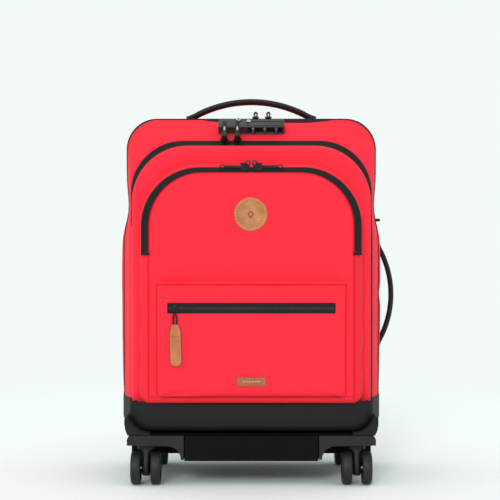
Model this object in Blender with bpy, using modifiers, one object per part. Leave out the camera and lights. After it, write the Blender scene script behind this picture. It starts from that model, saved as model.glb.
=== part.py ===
"""Soft-sided cabin suitcase on four twin-wheel casters, as separate named pieces.

Metres, +Z up, the front of the case faces -Y, and the wheels stand on z = 0.
Every piece is drawn in case coordinates (x = 0 on the case's centre line) and hangs
from an empty that sits on its body's joint axis.
"""
import bpy
import bmesh
from math import acos, cos, degrees, pi, radians, sin
from mathutils import Matrix, Vector

# ---------------------------------------------------------------- driving dimensions
ORIGIN = Vector((-0.0127, 0.0055, 0.0))   # puts the middle of the whole box over the origin
GAP = 0.0003                              # between pieces that touch

BACK_Y = 0.115          # outside of the back panel
MAIN_ZIP_Y = -0.015     # parting plane of the main compartment
LID_ZIP_Y = -0.060      # parting plane of the front compartment
LID_FACE_Y = -0.085     # front of the front compartment
ORGANISER_Y = -0.110    # front of the organiser
POCKET_Y = -0.120       # front of the flat pocket

BODY_HALF = 0.187       # half width at the main zip
BODY_TOP = 0.5195
BODY_LOW = 0.0725       # underside of the fabric body, just over the base
LID_HALF = 0.1708       # half width at the front compartment's zip
LID_TOP = 0.478
ORG_HALF = 0.1565       # organiser
ORG_LOW = 0.1141
ORG_TOP = 0.4500
BOOT_TOP = 0.1135       # edge between the black boot and the coloured fabric
WALL = 0.003

FLAP_HALF = 0.144       # opening front of the organiser
FLAP_LOW = 0.3245
FLAP_TOP = 0.4345
FLAP_RADIUS = 0.072

BASE_TOP = 0.0695
BASE_LOW = 0.034
BASE_HALF = 0.174
WELL_X = 0.0945         # inner side of each wheel well
WELL_Y_FRONT = -0.042   # rear edge of the front wells
WELL_Y_REAR = 0.034     # front edge of the rear wells
BASE_FRONT = -0.112
BASE_REAR = 0.110

CASTER_X = 0.148
CASTER_FRONT_Y = -0.088
CASTER_REAR_Y = 0.080
WHEEL_RADIUS = 0.023
WHEEL_WIDTH = 0.014
WHEEL_OFFSET = 0.014    # from the fork's middle to each wheel's middle
TRAIL = -0.010
HOUSING_UNDER = 0.055
AXLE_RADIUS = 0.0025

HINGE_Y = -0.100        # both lids turn about one line along the bottom front edge
HINGE_Z = 0.0715

TUBE_X = 0.075
TUBE_Y = 0.093
TROLLEY_HALF = 0.095

LOCK_TILT = radians(42)
LOCK_CENTRE = Vector((0, -0.0411, 0.5058))
LOCK_HALF = Vector((0.0475, 0.0085, 0.0075))

RED = (0.87, 0.03, 0.055, 1)
BLACK = (0.02, 0.02, 0.021, 1)
GREY = (0.035, 0.035, 0.037, 1)
LEATHER = (0.52, 0.22, 0.09, 1)
STEEL = (0.55, 0.55, 0.56, 1)

# ---------------------------------------------------------------- scene and materials
for old in list(bpy.data.objects):
    bpy.data.objects.remove(old, do_unlink=True)

parts = bpy.data.collections.new("cabin_suitcase")
cutters = bpy.data.collections.new("cutters")
bpy.context.scene.collection.children.link(parts)
bpy.context.scene.collection.children.link(cutters)


def finish(name, colour, roughness, metallic=0.0):
    """A Principled material."""
    material = bpy.data.materials.new(name)
    material.use_nodes = True
    shader = material.node_tree.nodes["Principled BSDF"]
    shader.inputs["Base Color"].default_value = colour
    shader.inputs["Roughness"].default_value = roughness
    shader.inputs["Metallic"].default_value = metallic
    return material


fabric = finish("red_fabric", RED, 0.75)
boot = finish("boot", BLACK, 0.65)
plastic = finish("black_plastic", GREY, 0.4)
rubber = finish("wheel_tread", BLACK, 0.6)
zip_metal = finish("black_metal", BLACK, 0.35, 0.8)
leather = finish("leather", LEATHER, 0.6)
steel = finish("steel", STEEL, 0.3, 1.0)
alloy = finish("trolley_tube", STEEL, 0.35, 0.9)

# ---------------------------------------------------------------- bodies
pivots = {}


def body(name, pivot, parent=None):
    """An empty on the body's joint axis. pivot is in case coordinates."""
    empty = bpy.data.objects.new("body_" + name, None)
    parts.objects.link(empty)
    pivot = Vector(pivot)
    if parent:
        empty.parent = parent
        empty.location = pivot - pivots[parent.name]
    else:
        empty.location = ORIGIN + pivot
    pivots[empty.name] = pivot
    return empty


# ---------------------------------------------------------------- building tools
CREASE = radians(40)     # edges sharper than this stay crisp
BOW_STEPS = 12           # facets along a carry handle


def place(mesh, name, holder, material):
    """Make the object of a mesh drawn in case coordinates and hang it from its body."""
    mesh.name = name
    mesh.materials.clear()
    mesh.materials.append(material)
    mesh.shade_smooth()
    mesh.set_sharp_from_angle(angle=CREASE)
    mesh.transform(Matrix.Translation(-pivots[holder.name]))
    piece = bpy.data.objects.new(name, mesh)
    parts.objects.link(piece)
    piece.parent = holder
    return piece


def tool(mesh, name):
    """A cutter, or a shape to join on, in case coordinates."""
    shape = bpy.data.objects.new("tool_" + name, mesh)
    cutters.objects.link(shape)
    shape.location = ORIGIN
    shape.hide_render = True
    shape.display_type = "WIRE"
    return shape


def combine(piece, shape, operation="DIFFERENCE"):
    modifier = piece.modifiers.new(shape.name, "BOOLEAN")
    modifier.object = shape
    modifier.operation = operation
    modifier.solver = "EXACT"


def soften(piece, width, segments=2):
    modifier = piece.modifiers.new("rounding", "BEVEL")
    modifier.width = width
    modifier.segments = segments
    modifier.limit_method = "ANGLE"
    modifier.angle_limit = radians(50)


def to_mesh(bm, matrix=None):
    mesh = bpy.data.meshes.new("shape")
    bmesh.ops.recalc_face_normals(bm, faces=bm.faces)
    bm.to_mesh(mesh)
    bm.free()
    if matrix:
        mesh.transform(matrix)
    return mesh


def block(low, high, matrix=None):
    """A box between two corners."""
    low, high = Vector(low), Vector(high)
    bm = bmesh.new()
    bmesh.ops.create_cube(bm, size=1.0)
    size = Matrix.Diagonal((*(high - low), 1.0))
    bmesh.ops.transform(bm, matrix=Matrix.Translation((low + high) / 2) @ size, verts=bm.verts)
    return to_mesh(bm, matrix)


TURN = {"X": Matrix.Rotation(pi / 2, 4, "Y"), "Y": Matrix.Rotation(pi / 2, 4, "X"), "Z": Matrix()}


def rod(centre, radius, length, axis="Z", sides=20, matrix=None):
    """A cylinder along one axis."""
    bm = bmesh.new()
    bmesh.ops.create_cone(bm, cap_ends=True, segments=sides, radius1=radius, radius2=radius, depth=length)
    bmesh.ops.transform(bm, matrix=Matrix.Translation(centre) @ TURN[axis], verts=bm.verts)
    return to_mesh(bm, matrix)


def arc(cx, cy, radius, start, end, steps):
    """Points on an arc, angles in degrees."""
    angles = [radians(start + (end - start) * i / steps) for i in range(steps + 1)]
    return [(cx + radius * cos(a), cy + radius * sin(a)) for a in angles]


def rounded(half, low, high, r_top, r_low, steps=6):
    """A symmetric outline with round corners, anticlockwise from the lower right corner."""
    return (
        arc(half - r_low, low + r_low, r_low, -90, 0, steps)
        + arc(half - r_top, high - r_top, r_top, 0, 90, steps)
        + arc(r_top - half, high - r_top, r_top, 90, 180, steps)
        + arc(r_low - half, low + r_low, r_low, 180, 270, steps)
    )


def flat(outline, low, high, across="Y"):
    """A flat outline given a thickness from low to high, across Y, X or Z."""
    curve = bpy.data.curves.new("outline", "CURVE")
    curve.dimensions = "2D"
    curve.fill_mode = "BOTH"
    curve.extrude = (high - low) / 2
    spline = curve.splines.new("POLY")
    spline.points.add(len(outline) - 1)
    for point, (a, b) in zip(spline.points, outline):
        point.co = (a, b, 0, 1)
    spline.use_cyclic_u = True
    guide = bpy.data.objects.new("outline", curve)
    cutters.objects.link(guide)
    evaluated = guide.evaluated_get(bpy.context.evaluated_depsgraph_get())
    mesh = bpy.data.meshes.new_from_object(evaluated)
    bpy.data.objects.remove(guide, do_unlink=True)
    bm = bmesh.new()
    bm.from_mesh(mesh)
    bmesh.ops.remove_doubles(bm, verts=bm.verts, dist=0.00001)
    middle = (low + high) / 2
    turn = {
        "Y": Matrix(((1, 0, 0, 0), (0, 0, -1, middle), (0, 1, 0, 0), (0, 0, 0, 1))),
        "X": Matrix(((0, 0, 1, middle), (1, 0, 0, 0), (0, 1, 0, 0), (0, 0, 0, 1))),
        "Z": Matrix.Translation((0, 0, middle)),
    }[across]
    bmesh.ops.transform(bm, matrix=turn, verts=bm.verts)
    return to_mesh(bm)


def loft(rings):
    """A closed skin through rings of equal length, each a list of points, capped at both ends."""
    bm = bmesh.new()
    loops = [[bm.verts.new(p) for p in ring] for ring in rings]
    count = len(loops[0])
    for one, two in zip(loops, loops[1:]):
        for i in range(count):
            j = (i + 1) % count
            bm.faces.new((one[i], one[j], two[j], two[i]))
    bm.faces.new(list(reversed(loops[0])))
    bm.faces.new(loops[-1])
    return to_mesh(bm)


def tray(stations, wall=WALL):
    """An open tray. Each station is (y, half, low, high, r_top, r_low), rim first, closed face last."""
    closed_y = stations[-1][0]
    inward = -wall if closed_y > stations[0][0] else wall
    limit = closed_y + inward

    def ring(station, inset):
        y, half, low, high, r_top, r_low = station
        if inset:
            y = min(y, limit) if inward < 0 else max(y, limit)
        outline = rounded(
            half - inset, low + inset, high - inset, max(r_top - inset, 0.002), max(r_low - inset, 0.002)
        )
        return [(x, y, z) for x, z in outline]

    inner = [ring(s, wall) for s in reversed(stations) if abs(s[0] - closed_y) > wall / 2 or s is stations[-1]]
    return loft(inner + [ring(s, 0.0) for s in stations])


def slice_level(mesh, z, keep_above):
    """Cut a closed mesh at a level and close the cut."""
    bm = bmesh.new()
    bm.from_mesh(mesh)
    cut = bmesh.ops.bisect_plane(
        bm,
        geom=bm.verts[:] + bm.edges[:] + bm.faces[:],
        plane_co=(0, 0, z),
        plane_no=(0, 0, 1),
        clear_inner=keep_above,
        clear_outer=not keep_above,
    )
    edges = [e for e in cut["geom_cut"] if isinstance(e, bmesh.types.BMEdge)]
    bmesh.ops.edgenet_fill(bm, edges=edges)
    return to_mesh(bm)


def upper_and_lower(name, stations, holder):
    """One tray in two pieces: the fabric over the boot's edge, and the boot under it."""
    upper = slice_level(tray(stations), BOOT_TOP + GAP, True)
    lower = slice_level(tray(stations), BOOT_TOP, False)
    return place(upper, name + "_shell", holder, fabric), place(lower, name + "_boot", holder, boot)


# ---------------------------------------------------------------- rear half of the case
case = body("case", (0, 0, 0))


def rear_half():
    edge = (
        (MAIN_ZIP_Y + GAP, 0.001),
        (0.030, 0.0),
        (0.103, 0.0),
        (0.110, 0.004),
        (0.1135, 0.009),
        (BACK_Y, 0.016),
    )
    stations = [
        (y, BODY_HALF - inset, BODY_LOW + inset, BODY_TOP - inset, 0.050, 0.014) for y, inset in edge
    ]
    shell, _ = upper_and_lower("rear", stations, case)
    hole = block(
        (-TROLLEY_HALF - GAP, 0.0737, 0.480), (TROLLEY_HALF + GAP, 0.1063, 0.530)
    )
    combine(shell, tool(hole, "trolley_hole"))


rear_half()


# ---------------------------------------------------------------- base and wheel housings
def base_blocks(inset, low, high):
    """The base in two crossing blocks: one long and narrow, one short and as wide as the case."""
    wide, narrow = BASE_HALF - 0.001 - inset, WELL_X - 2 * GAP - inset
    front, rear = BASE_FRONT + 0.001 + inset, BASE_REAR - inset
    near, far = WELL_Y_FRONT + 2 * GAP + inset, WELL_Y_REAR - 2 * GAP - inset
    return block((-narrow, front, low), (narrow, rear, high)), block((-wide, near, low), (wide, far, high))


def base_pan():
    """A pan that is open underneath, with the four wheel wells left out of its corners."""
    length, width = base_blocks(0, BASE_LOW, BASE_TOP)
    pan = place(length, "base_pan", case, boot)
    combine(pan, tool(width, "base_width"), "UNION")
    for name, hollow in zip(("length", "width"), base_blocks(WALL, BASE_LOW - 0.01, BASE_TOP - WALL)):
        combine(pan, tool(hollow, "base_hollow_" + name))


base_pan()


def housing_outline(side):
    """Front view of a housing: a plate over the wheels with a wing that curves down inside."""
    wing = WELL_X + 0.004
    arch = arc(wing + 0.019, 0.036, 0.019, 180, 90, 6)
    points = [(WELL_X, 0.036), *arch, (BASE_HALF, HOUSING_UNDER + 0.001)]
    points += arc(BASE_HALF - 0.006, BASE_TOP - 0.006, 0.006, 0, 90, 3)
    points += [(WELL_X, BASE_TOP)]
    return [(side * x, z) for x, z in points]


def wheel_profile():
    """Half section of a wheel, down the tread and back up the bore."""
    r, w, bore = WHEEL_RADIUS, WHEEL_WIDTH / 2, AXLE_RADIUS + GAP
    return [
        (bore, w - 0.002), (0.008, w - 0.002), (0.0095, w - 0.0035), (0.017, w - 0.0035), (0.0185, w - 0.0005),
        (r - 0.002, w), (r, w - 0.003), (r, 0.003 - w), (r - 0.002, -w),
        (0.0185, 0.0005 - w), (0.017, 0.0035 - w), (0.0095, 0.0035 - w), (0.008, 0.002 - w), (bore, 0.002 - w),
    ]


def wheel_mesh():
    """The wheel's ring of section points, to be turned about its own Z axis."""
    bm = bmesh.new()
    verts = [bm.verts.new((x, 0, z)) for x, z in wheel_profile()]
    for i, vert in enumerate(verts):
        bm.edges.new((vert, verts[(i + 1) % len(verts)]))
    mesh = bpy.data.meshes.new("wheel_section")
    bm.to_mesh(mesh)
    bm.free()
    return mesh


def wheel(name, holder, centre):
    mesh = wheel_mesh()
    mesh.materials.append(rubber)
    piece = bpy.data.objects.new(name, mesh)
    parts.objects.link(piece)
    piece.parent = holder
    piece.location = Vector(centre) - pivots[holder.name]
    piece.rotation_euler = (0, pi / 2, 0)
    screw = piece.modifiers.new("turned", "SCREW")
    screw.steps = screw.render_steps = 24
    screw.use_merge_vertices = True
    screw.merge_threshold = 0.00001
    screw.use_smooth_shade = True


def fork(name, holder, x, y):
    """The swivelling leg between the two wheels, with its head and pin."""
    axle_y = y + TRAIL
    leg = arc(axle_y, WHEEL_RADIUS, 0.0115, 180, 360, 8)
    leg += [(y + 0.0115, 0.050), (y - 0.0125, 0.050)]
    piece = place(flat(leg, x - 0.006, x + 0.006, "X"), name, holder, plastic)
    head = rod((x, y, 0.0512), 0.0128, 0.0068, sides=24)
    pin = rod((x, y, 0.0595), 0.004, 0.012, sides=16)
    bore = rod((x, axle_y, WHEEL_RADIUS), AXLE_RADIUS + GAP, 0.03, "X", 16)
    combine(piece, tool(head, name + "_head"), "UNION")
    combine(piece, tool(pin, name + "_pin"), "UNION")
    combine(piece, tool(bore, name + "_bore"))


def caster(name, side, y, y_low, y_high):
    x = side * CASTER_X
    housing = place(flat(housing_outline(side), y_low, y_high), "wheel_housing_" + name, case, plastic)
    combine(housing, tool(rod((x, y, 0.0605), 0.0045, 0.0124, sides=16), "pin_hole_" + name))
    swivel = body("caster_" + name, (x, y, HOUSING_UNDER), case)
    fork("caster_fork_" + name, swivel, x, y)
    axle_at = Vector((x, y + TRAIL, WHEEL_RADIUS))
    place(rod(axle_at, AXLE_RADIUS, 0.041, "X", 16), "caster_axle_" + name, swivel, steel)
    for letter, way in (("a", -1), ("b", 1)):
        centre = axle_at + Vector((way * WHEEL_OFFSET, 0, 0))
        hub = body("wheel_" + name + "_" + letter, centre, swivel)
        wheel("wheel_" + name + "_" + letter, hub, centre)


caster("front_left", -1, CASTER_FRONT_Y, BASE_FRONT, WELL_Y_FRONT)
caster("front_right", 1, CASTER_FRONT_Y, BASE_FRONT, WELL_Y_FRONT)
caster("rear_left", -1, CASTER_REAR_Y, WELL_Y_REAR, BASE_REAR)
caster("rear_right", 1, CASTER_REAR_Y, WELL_Y_REAR, BASE_REAR)


# ---------------------------------------------------------------- telescopic trolley
def tube_ring(x, half_x, half_y, z):
    """One level of a tube with chamfered corners."""
    c = 0.002
    corner = [(half_x, c - half_y), (half_x, half_y - c), (half_x - c, half_y), (c - half_x, half_y),
              (-half_x, half_y - c), (-half_x, c - half_y), (c - half_x, -half_y), (half_x - c, -half_y)]
    return [(x + a, TUBE_Y + b, z) for a, b in corner]


def tube(x, half_x, half_y, wall, low, high):
    """A rectangular tube, open at both ends."""
    bm = bmesh.new()
    outer, inner = (half_x, half_y), (half_x - wall, half_y - wall)
    sections = [(*outer, low), (*outer, high), (*inner, high), (*inner, low)]
    loops = [[bm.verts.new(p) for p in tube_ring(x, *s)] for s in sections]
    for one, two in zip(loops, loops[1:] + loops[:1]):
        for i in range(8):
            j = (i + 1) % 8
            bm.faces.new((one[i], one[j], two[j], two[i]))
    return to_mesh(bm)


trolley = body("trolley", (0, TUBE_Y, 0.40), case)


def trolley_parts():
    cup = place(
        block((-TROLLEY_HALF, 0.0740, 0.4860), (TROLLEY_HALF, 0.1060, 0.5210)), "trolley_cup", case, plastic
    )
    pocket = block((-TROLLEY_HALF + 0.003, 0.0765, 0.4885), (TROLLEY_HALF - 0.003, 0.1035, 0.53))
    combine(cup, tool(pocket, "cup_pocket"))
    for side, name in ((-1, "left"), (1, "right")):
        x = side * TUBE_X
        window = block((x - 0.0095, TUBE_Y - 0.0065, 0.48), (x + 0.0095, TUBE_Y + 0.0065, 0.4895))
        combine(cup, tool(window, "cup_window_" + name))
        place(tube(x, 0.011, 0.008, 0.0015, 0.078, 0.4857), "trolley_outer_tube_" + name, case, alloy)
        place(tube(x, 0.0090, 0.0060, 0.0012, 0.095, 0.4937), "trolley_inner_tube_" + name, trolley, alloy)
    grip = place(block((-0.089, 0.0850, 0.494), (0.089, 0.1005, 0.5155)), "trolley_grip", trolley, plastic)
    soften(grip, 0.004, 2)
    combine(grip, tool(block((-0.0158, 0.0892, 0.511), (0.0158, 0.0963, 0.53)), "button_well"))
    press = body("trolley_button", (0, TUBE_Y, 0.516), trolley)
    place(block((-0.0152, 0.0898, 0.5125), (0.0152, 0.0957, 0.5175)), "trolley_button", press, plastic)


trolley_parts()


# ---------------------------------------------------------------- carry handles
def strap_outline(half, height, thick):
    """A low bow of even thickness, standing on the line height = 0."""
    radius = (half**2 + height**2) / (2 * height)
    drop = radius - height
    reach = degrees(acos(drop / radius))
    reach_inside = degrees(acos(drop / (radius - thick)))
    outer = arc(0, -drop, radius, 90 - reach, 90 + reach, BOW_STEPS)
    inside = arc(0, -drop, radius - thick, 90 + reach_inside, 90 - reach_inside, BOW_STEPS)
    return outer + inside


TOP_HANDLE_Y = 0.020
TOP_HANDLE_FOOT = 0.5232
SIDE_HANDLE_Y = 0.045
SIDE_HANDLE_FOOT = 0.1909
SIDE_HANDLE_Z = 0.260
STRAP_HALF = 0.007


def handles():
    top = body("top_handle", (0, TOP_HANDLE_Y, TOP_HANDLE_FOOT + 0.0033), case)
    arch = strap_outline(0.094, 0.550 - TOP_HANDLE_FOOT, 0.0075)
    arch = [(x, z + TOP_HANDLE_FOOT) for x, z in arch]
    strap = flat(arch, TOP_HANDLE_Y - STRAP_HALF, TOP_HANDLE_Y + STRAP_HALF)
    place(strap, "top_handle", top, boot)
    for side, name in ((-1, "left"), (1, "right")):
        a, b = sorted((side * 0.0950, side * 0.1080))
        end = block((a, TOP_HANDLE_Y - 0.008, BODY_TOP + GAP), (b, TOP_HANDLE_Y + 0.008, 0.5315))
        soften(place(end, "top_handle_end_" + name, case, boot), 0.003, 2)

    side_body = body("side_handle", (SIDE_HANDLE_FOOT + 0.0033, SIDE_HANDLE_Y, SIDE_HANDLE_Z), case)
    arch = strap_outline(0.078, 0.0225, 0.0070)
    arch = [(SIDE_HANDLE_FOOT + z, SIDE_HANDLE_Z + x) for x, z in reversed(arch)]
    strap = flat(arch, SIDE_HANDLE_Y - STRAP_HALF, SIDE_HANDLE_Y + STRAP_HALF)
    place(strap, "side_handle", side_body, boot)
    for way, name in ((-1, "low"), (1, "high")):
        a, b = sorted((SIDE_HANDLE_Z + way * 0.0790, SIDE_HANDLE_Z + way * 0.0910))
        end = block((BODY_HALF + GAP, SIDE_HANDLE_Y - 0.008, a), (0.1975, SIDE_HANDLE_Y + 0.008, b))
        soften(place(end, "side_handle_end_" + name, case, boot), 0.003, 2)


handles()

# ---------------------------------------------------------------- main lid: middle section
main_lid = body("main_lid", (0, HINGE_Y, HINGE_Z), case)


def middle_section():
    stations = [
        (LID_ZIP_Y + GAP, LID_HALF, BODY_LOW, LID_TOP, 0.080, 0.014),
        (-0.040, 0.1778, BODY_LOW, 0.4959, 0.067, 0.014),
        (MAIN_ZIP_Y - GAP, BODY_HALF - 0.0015, BODY_LOW, BODY_TOP - 0.001, 0.050, 0.014),
    ]
    upper_and_lower("middle", stations, main_lid)


middle_section()

LOCK = Matrix.Translation(LOCK_CENTRE) @ Matrix.Rotation(LOCK_TILT, 4, "X")


def lock_block(low, high):
    return block(low, high, LOCK)


def lock_point(x, along, up):
    return LOCK @ Vector((x, along, up))


def lock():
    """A combination lock bar on the sloping top: dials in front, a key cylinder and a button on top."""
    shell = place(lock_block(-LOCK_HALF, LOCK_HALF), "lock_body", main_lid, plastic)
    soften(shell, 0.0015, 2)
    combine(shell, tool(lock_block((-0.0055, -0.02, -0.0059), (0.0440, 0.0012, 0.0059)), "dial_window"))
    combine(shell, tool(lock_block((-0.0076, -0.0011, 0.0050), (-0.0004, 0.0051, 0.02)), "button_hole"))
    for i in range(3):
        at = (0.0025 + 0.0165 * i, -0.0052, 0)
        dial = body("lock_dial_%d" % (i + 1), lock_point(*at), main_lid)
        place(rod(at, 0.0054, 0.006, "X", 20, LOCK), "lock_dial_%d" % (i + 1), dial, plastic)
    press = body("lock_button", lock_point(-0.004, 0.002, 0.0080), main_lid)
    place(lock_block((-0.0070, -0.0005, 0.0062), (-0.0010, 0.0045, 0.0095)), "lock_button", press, steel)
    key = body("lock_cylinder", lock_point(-0.0183, 0.0048, 0.0088), main_lid)
    disc = place(rod((-0.0183, 0.0048, 0.0089), 0.0034, 0.0020, "Z", 20, LOCK), "lock_cylinder", key, steel)
    combine(disc, tool(lock_block((-0.0188, 0.0028, 0.0090), (-0.0178, 0.0068, 0.02)), "key_slot"))


lock()


def pullers():
    """Zip sliders whose pulls lie on the lock: two from the front zip, two from the main zip."""
    rows = (("lid", -1, (-0.0383, -0.0200), 0.0305), ("main", 1, (0.0063, 0.0246), 0.0255))
    for zip_name, way, places, pivot in rows:
        for number, x in enumerate(places):
            name = "%s_zip_puller_%d" % (zip_name, number + 1)
            holder = body(name, lock_point(x, way * pivot, -0.002), main_lid)
            a, b = sorted((way * (pivot - 0.0035), way * (pivot + 0.0035)))
            slider = place(lock_block((x - 0.004, a, -0.0045), (x + 0.004, b, 0.0101)), name, holder, zip_metal)
            a, b = sorted((way * 0.0005 if way < 0 else 0.0100, way * pivot))
            pull = lock_block((x - 0.0026, a, 0.0079), (x + 0.0026, b, 0.0100))
            combine(slider, tool(pull, name), "UNION")


pullers()

# ---------------------------------------------------------------- front lid
front_lid = body("front_lid", (0, HINGE_Y, HINGE_Z), main_lid)


def front_section():
    """The fabric front compartment, and the black boot that stands a little proud of it."""
    shell_rings = [
        (LID_ZIP_Y - GAP, LID_HALF, BODY_LOW, LID_TOP, 0.080, 0.014),
        (-0.077, 0.1690, BODY_LOW, 0.4735, 0.080, 0.014),
        (-0.0825, 0.1660, BODY_LOW, 0.4690, 0.080, 0.014),
        (LID_FACE_Y, 0.1600, BODY_LOW, 0.4620, 0.076, 0.014),
    ]
    place(slice_level(tray(shell_rings), BOOT_TOP + GAP, True), "front_shell", front_lid, fabric)
    boot_rings = [
        (LID_ZIP_Y - GAP, LID_HALF + 0.002, BODY_LOW, 0.2, 0.012, 0.014),
        (-0.090, 0.1715, BODY_LOW, 0.2, 0.012, 0.014),
        (-0.0965, 0.1690, BODY_LOW + 0.001, 0.2, 0.012, 0.014),
        (HINGE_Y + GAP, 0.1630, BODY_LOW + 0.004, 0.2, 0.012, 0.014),
    ]
    place(slice_level(tray(boot_rings), BOOT_TOP, False), "front_boot", front_lid, boot)


front_section()


def organiser():
    rings = [
        (LID_FACE_Y - GAP, ORG_HALF, ORG_LOW, ORG_TOP, 0.083, 0.012),
        (-0.104, ORG_HALF, ORG_LOW, ORG_TOP - 0.001, 0.083, 0.012),
        (-0.1085, 0.1555, ORG_LOW + 0.001, 0.4475, 0.082, 0.012),
        (ORGANISER_Y, 0.1530, ORG_LOW + 0.003, 0.4445, 0.080, 0.012),
    ]
    shell = place(tray(rings, 0.0025), "organiser_shell", front_lid, fabric)
    hole = rounded(FLAP_HALF + 0.0005, FLAP_LOW - 0.0025, FLAP_TOP + 0.0005, FLAP_RADIUS, 0.001)
    combine(shell, tool(flat(hole, -0.13, -0.105), "flap_hole"))
    flap = body("organiser_flap", (0, -0.1088, FLAP_LOW - 0.0005), front_lid)
    panel = rounded(FLAP_HALF, FLAP_LOW, FLAP_TOP, FLAP_RADIUS, 0.001)
    place(flat(panel, ORGANISER_Y, -0.1075), "organiser_flap", flap, fabric)
    disc = rod((-0.001, -0.1110, 0.379), 0.0232, 0.0014, "Y", 40)
    place(disc, "round_patch", flap, leather)
    for side, name in ((-1, "left"), (1, "right")):
        slider = body("organiser_slider_" + name, (side * 0.009, ORGANISER_Y, 0.4415), front_lid)
        outline = [(0.0035, 0.4385), (0.0142, 0.4385), (0.0142, 0.4402), (0.0440, 0.4402),
                   (0.0440, 0.4445), (0.0142, 0.4445), (0.0142, 0.4475), (0.0035, 0.4475)]
        outline = [(side * x, z) for x, z in outline]
        place(flat(outline, -0.1133, -0.1104), "organiser_slider_" + name, slider, zip_metal)


organiser()


def pocket():
    panel = flat(rounded(0.132, 0.123, 0.2845, 0.008, 0.008, 3), POCKET_Y, ORGANISER_Y - GAP)
    soften(place(panel, "front_pocket", front_lid, fabric), 0.003, 2)
    tape = block((-0.1172, -0.1218, 0.2413), (0.1172, POCKET_Y - GAP, 0.2559))
    place(tape, "pocket_zip", front_lid, boot)
    badge = block((-0.0202, -0.1216, 0.1404), (0.0202, POCKET_Y - GAP, 0.1527))
    soften(place(badge, "pocket_label", front_lid, leather), 0.0004, 1)
    x = -0.1062
    slide = body("pocket_slider", (x, -0.1241, 0.2485), front_lid)
    runner = block((x - 0.005, -0.1262, 0.2435), (x + 0.005, -0.1221, 0.2555))
    soften(place(runner, "pocket_slider", slide, zip_metal), 0.001, 2)
    swing = body("pocket_pull", (x, -0.1241, 0.2415), slide)
    tab = arc(x, 0.1755, 0.0075, 180, 360, 6) + arc(x + 0.0025, 0.2205, 0.005, 0, 80, 3)
    tab += [(x + 0.0022, 0.2272), (x + 0.0022, 0.2425), (x - 0.0022, 0.2425), (x - 0.0022, 0.2272)]
    tab += arc(x - 0.0025, 0.2205, 0.005, 100, 180, 3)
    place(flat(tab, -0.1256, -0.1226), "pocket_pull", swing, leather)


pocket()
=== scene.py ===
"""The looks of the soft cabin suitcase: fabric, boots, zips, straps, lock, leather and wheels.

Lengths are metres. Every shape is drawn in case coordinates, where x = 0 is the middle of
the case, and moved by SHIFT into the frame when its mesh is made.
"""

from math import acos, copysign, cos, degrees, exp, pi, radians, sin, sqrt

import bmesh
import bpy
from mathutils import Matrix, Vector, noise


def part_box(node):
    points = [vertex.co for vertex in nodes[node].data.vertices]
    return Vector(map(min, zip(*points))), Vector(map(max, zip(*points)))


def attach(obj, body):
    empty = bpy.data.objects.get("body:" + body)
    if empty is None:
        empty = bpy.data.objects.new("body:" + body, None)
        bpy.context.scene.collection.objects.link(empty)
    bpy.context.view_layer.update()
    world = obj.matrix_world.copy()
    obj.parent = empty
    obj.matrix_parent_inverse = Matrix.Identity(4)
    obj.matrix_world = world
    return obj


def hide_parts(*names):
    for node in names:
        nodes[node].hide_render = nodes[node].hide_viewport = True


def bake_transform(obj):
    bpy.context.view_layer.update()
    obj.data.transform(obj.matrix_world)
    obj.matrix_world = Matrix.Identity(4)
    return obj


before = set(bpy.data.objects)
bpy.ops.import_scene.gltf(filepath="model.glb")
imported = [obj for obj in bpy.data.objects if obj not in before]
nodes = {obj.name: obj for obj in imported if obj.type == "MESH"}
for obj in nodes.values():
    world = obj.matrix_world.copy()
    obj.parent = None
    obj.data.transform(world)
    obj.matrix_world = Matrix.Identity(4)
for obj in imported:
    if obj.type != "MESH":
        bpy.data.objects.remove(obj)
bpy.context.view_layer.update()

# ------------------------------------------------------------------ places, from the frame
BASE_LO, BASE_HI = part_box("base_pan")
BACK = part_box("rear_shell")[1].y
BACK_Y = 0.115
SHIFT = Vector(((BASE_LO.x + BASE_HI.x) / 2, BACK - BACK_Y, 0))


def local_box(node):
    """A CAD node's box in case coordinates."""
    lo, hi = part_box(node)
    return Vector(lo) - SHIFT, Vector(hi) - SHIFT


LID_ZIP_Y = -0.060
LID_FACE_Y = -0.085
ORG_Y = -0.110
BODY_HALF = 0.187
LID_HALF, LID_TOP, LID_RADIUS = 0.1705, 0.4777, 0.080
MIDDLE_FRONT_Y, MIDDLE_DEPTH = -0.0597, 0.0444
LOCK_TILT = radians(42)
LOCK_CENTRE = Vector((0, -0.0411, 0.5058))
LOCK = Matrix.Translation(LOCK_CENTRE) @ Matrix.Rotation(LOCK_TILT, 4, "X")


# ------------------------------------------------------------------ node materials
def new_material(name, colour, roughness, metallic=0.0):
    material = bpy.data.materials.new(name)
    material.use_nodes = True
    shader = material.node_tree.nodes["Principled BSDF"]
    shader.inputs["Base Color"].default_value = (*colour, 1)
    shader.inputs["Roughness"].default_value = roughness
    shader.inputs["Metallic"].default_value = metallic
    return material


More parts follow.
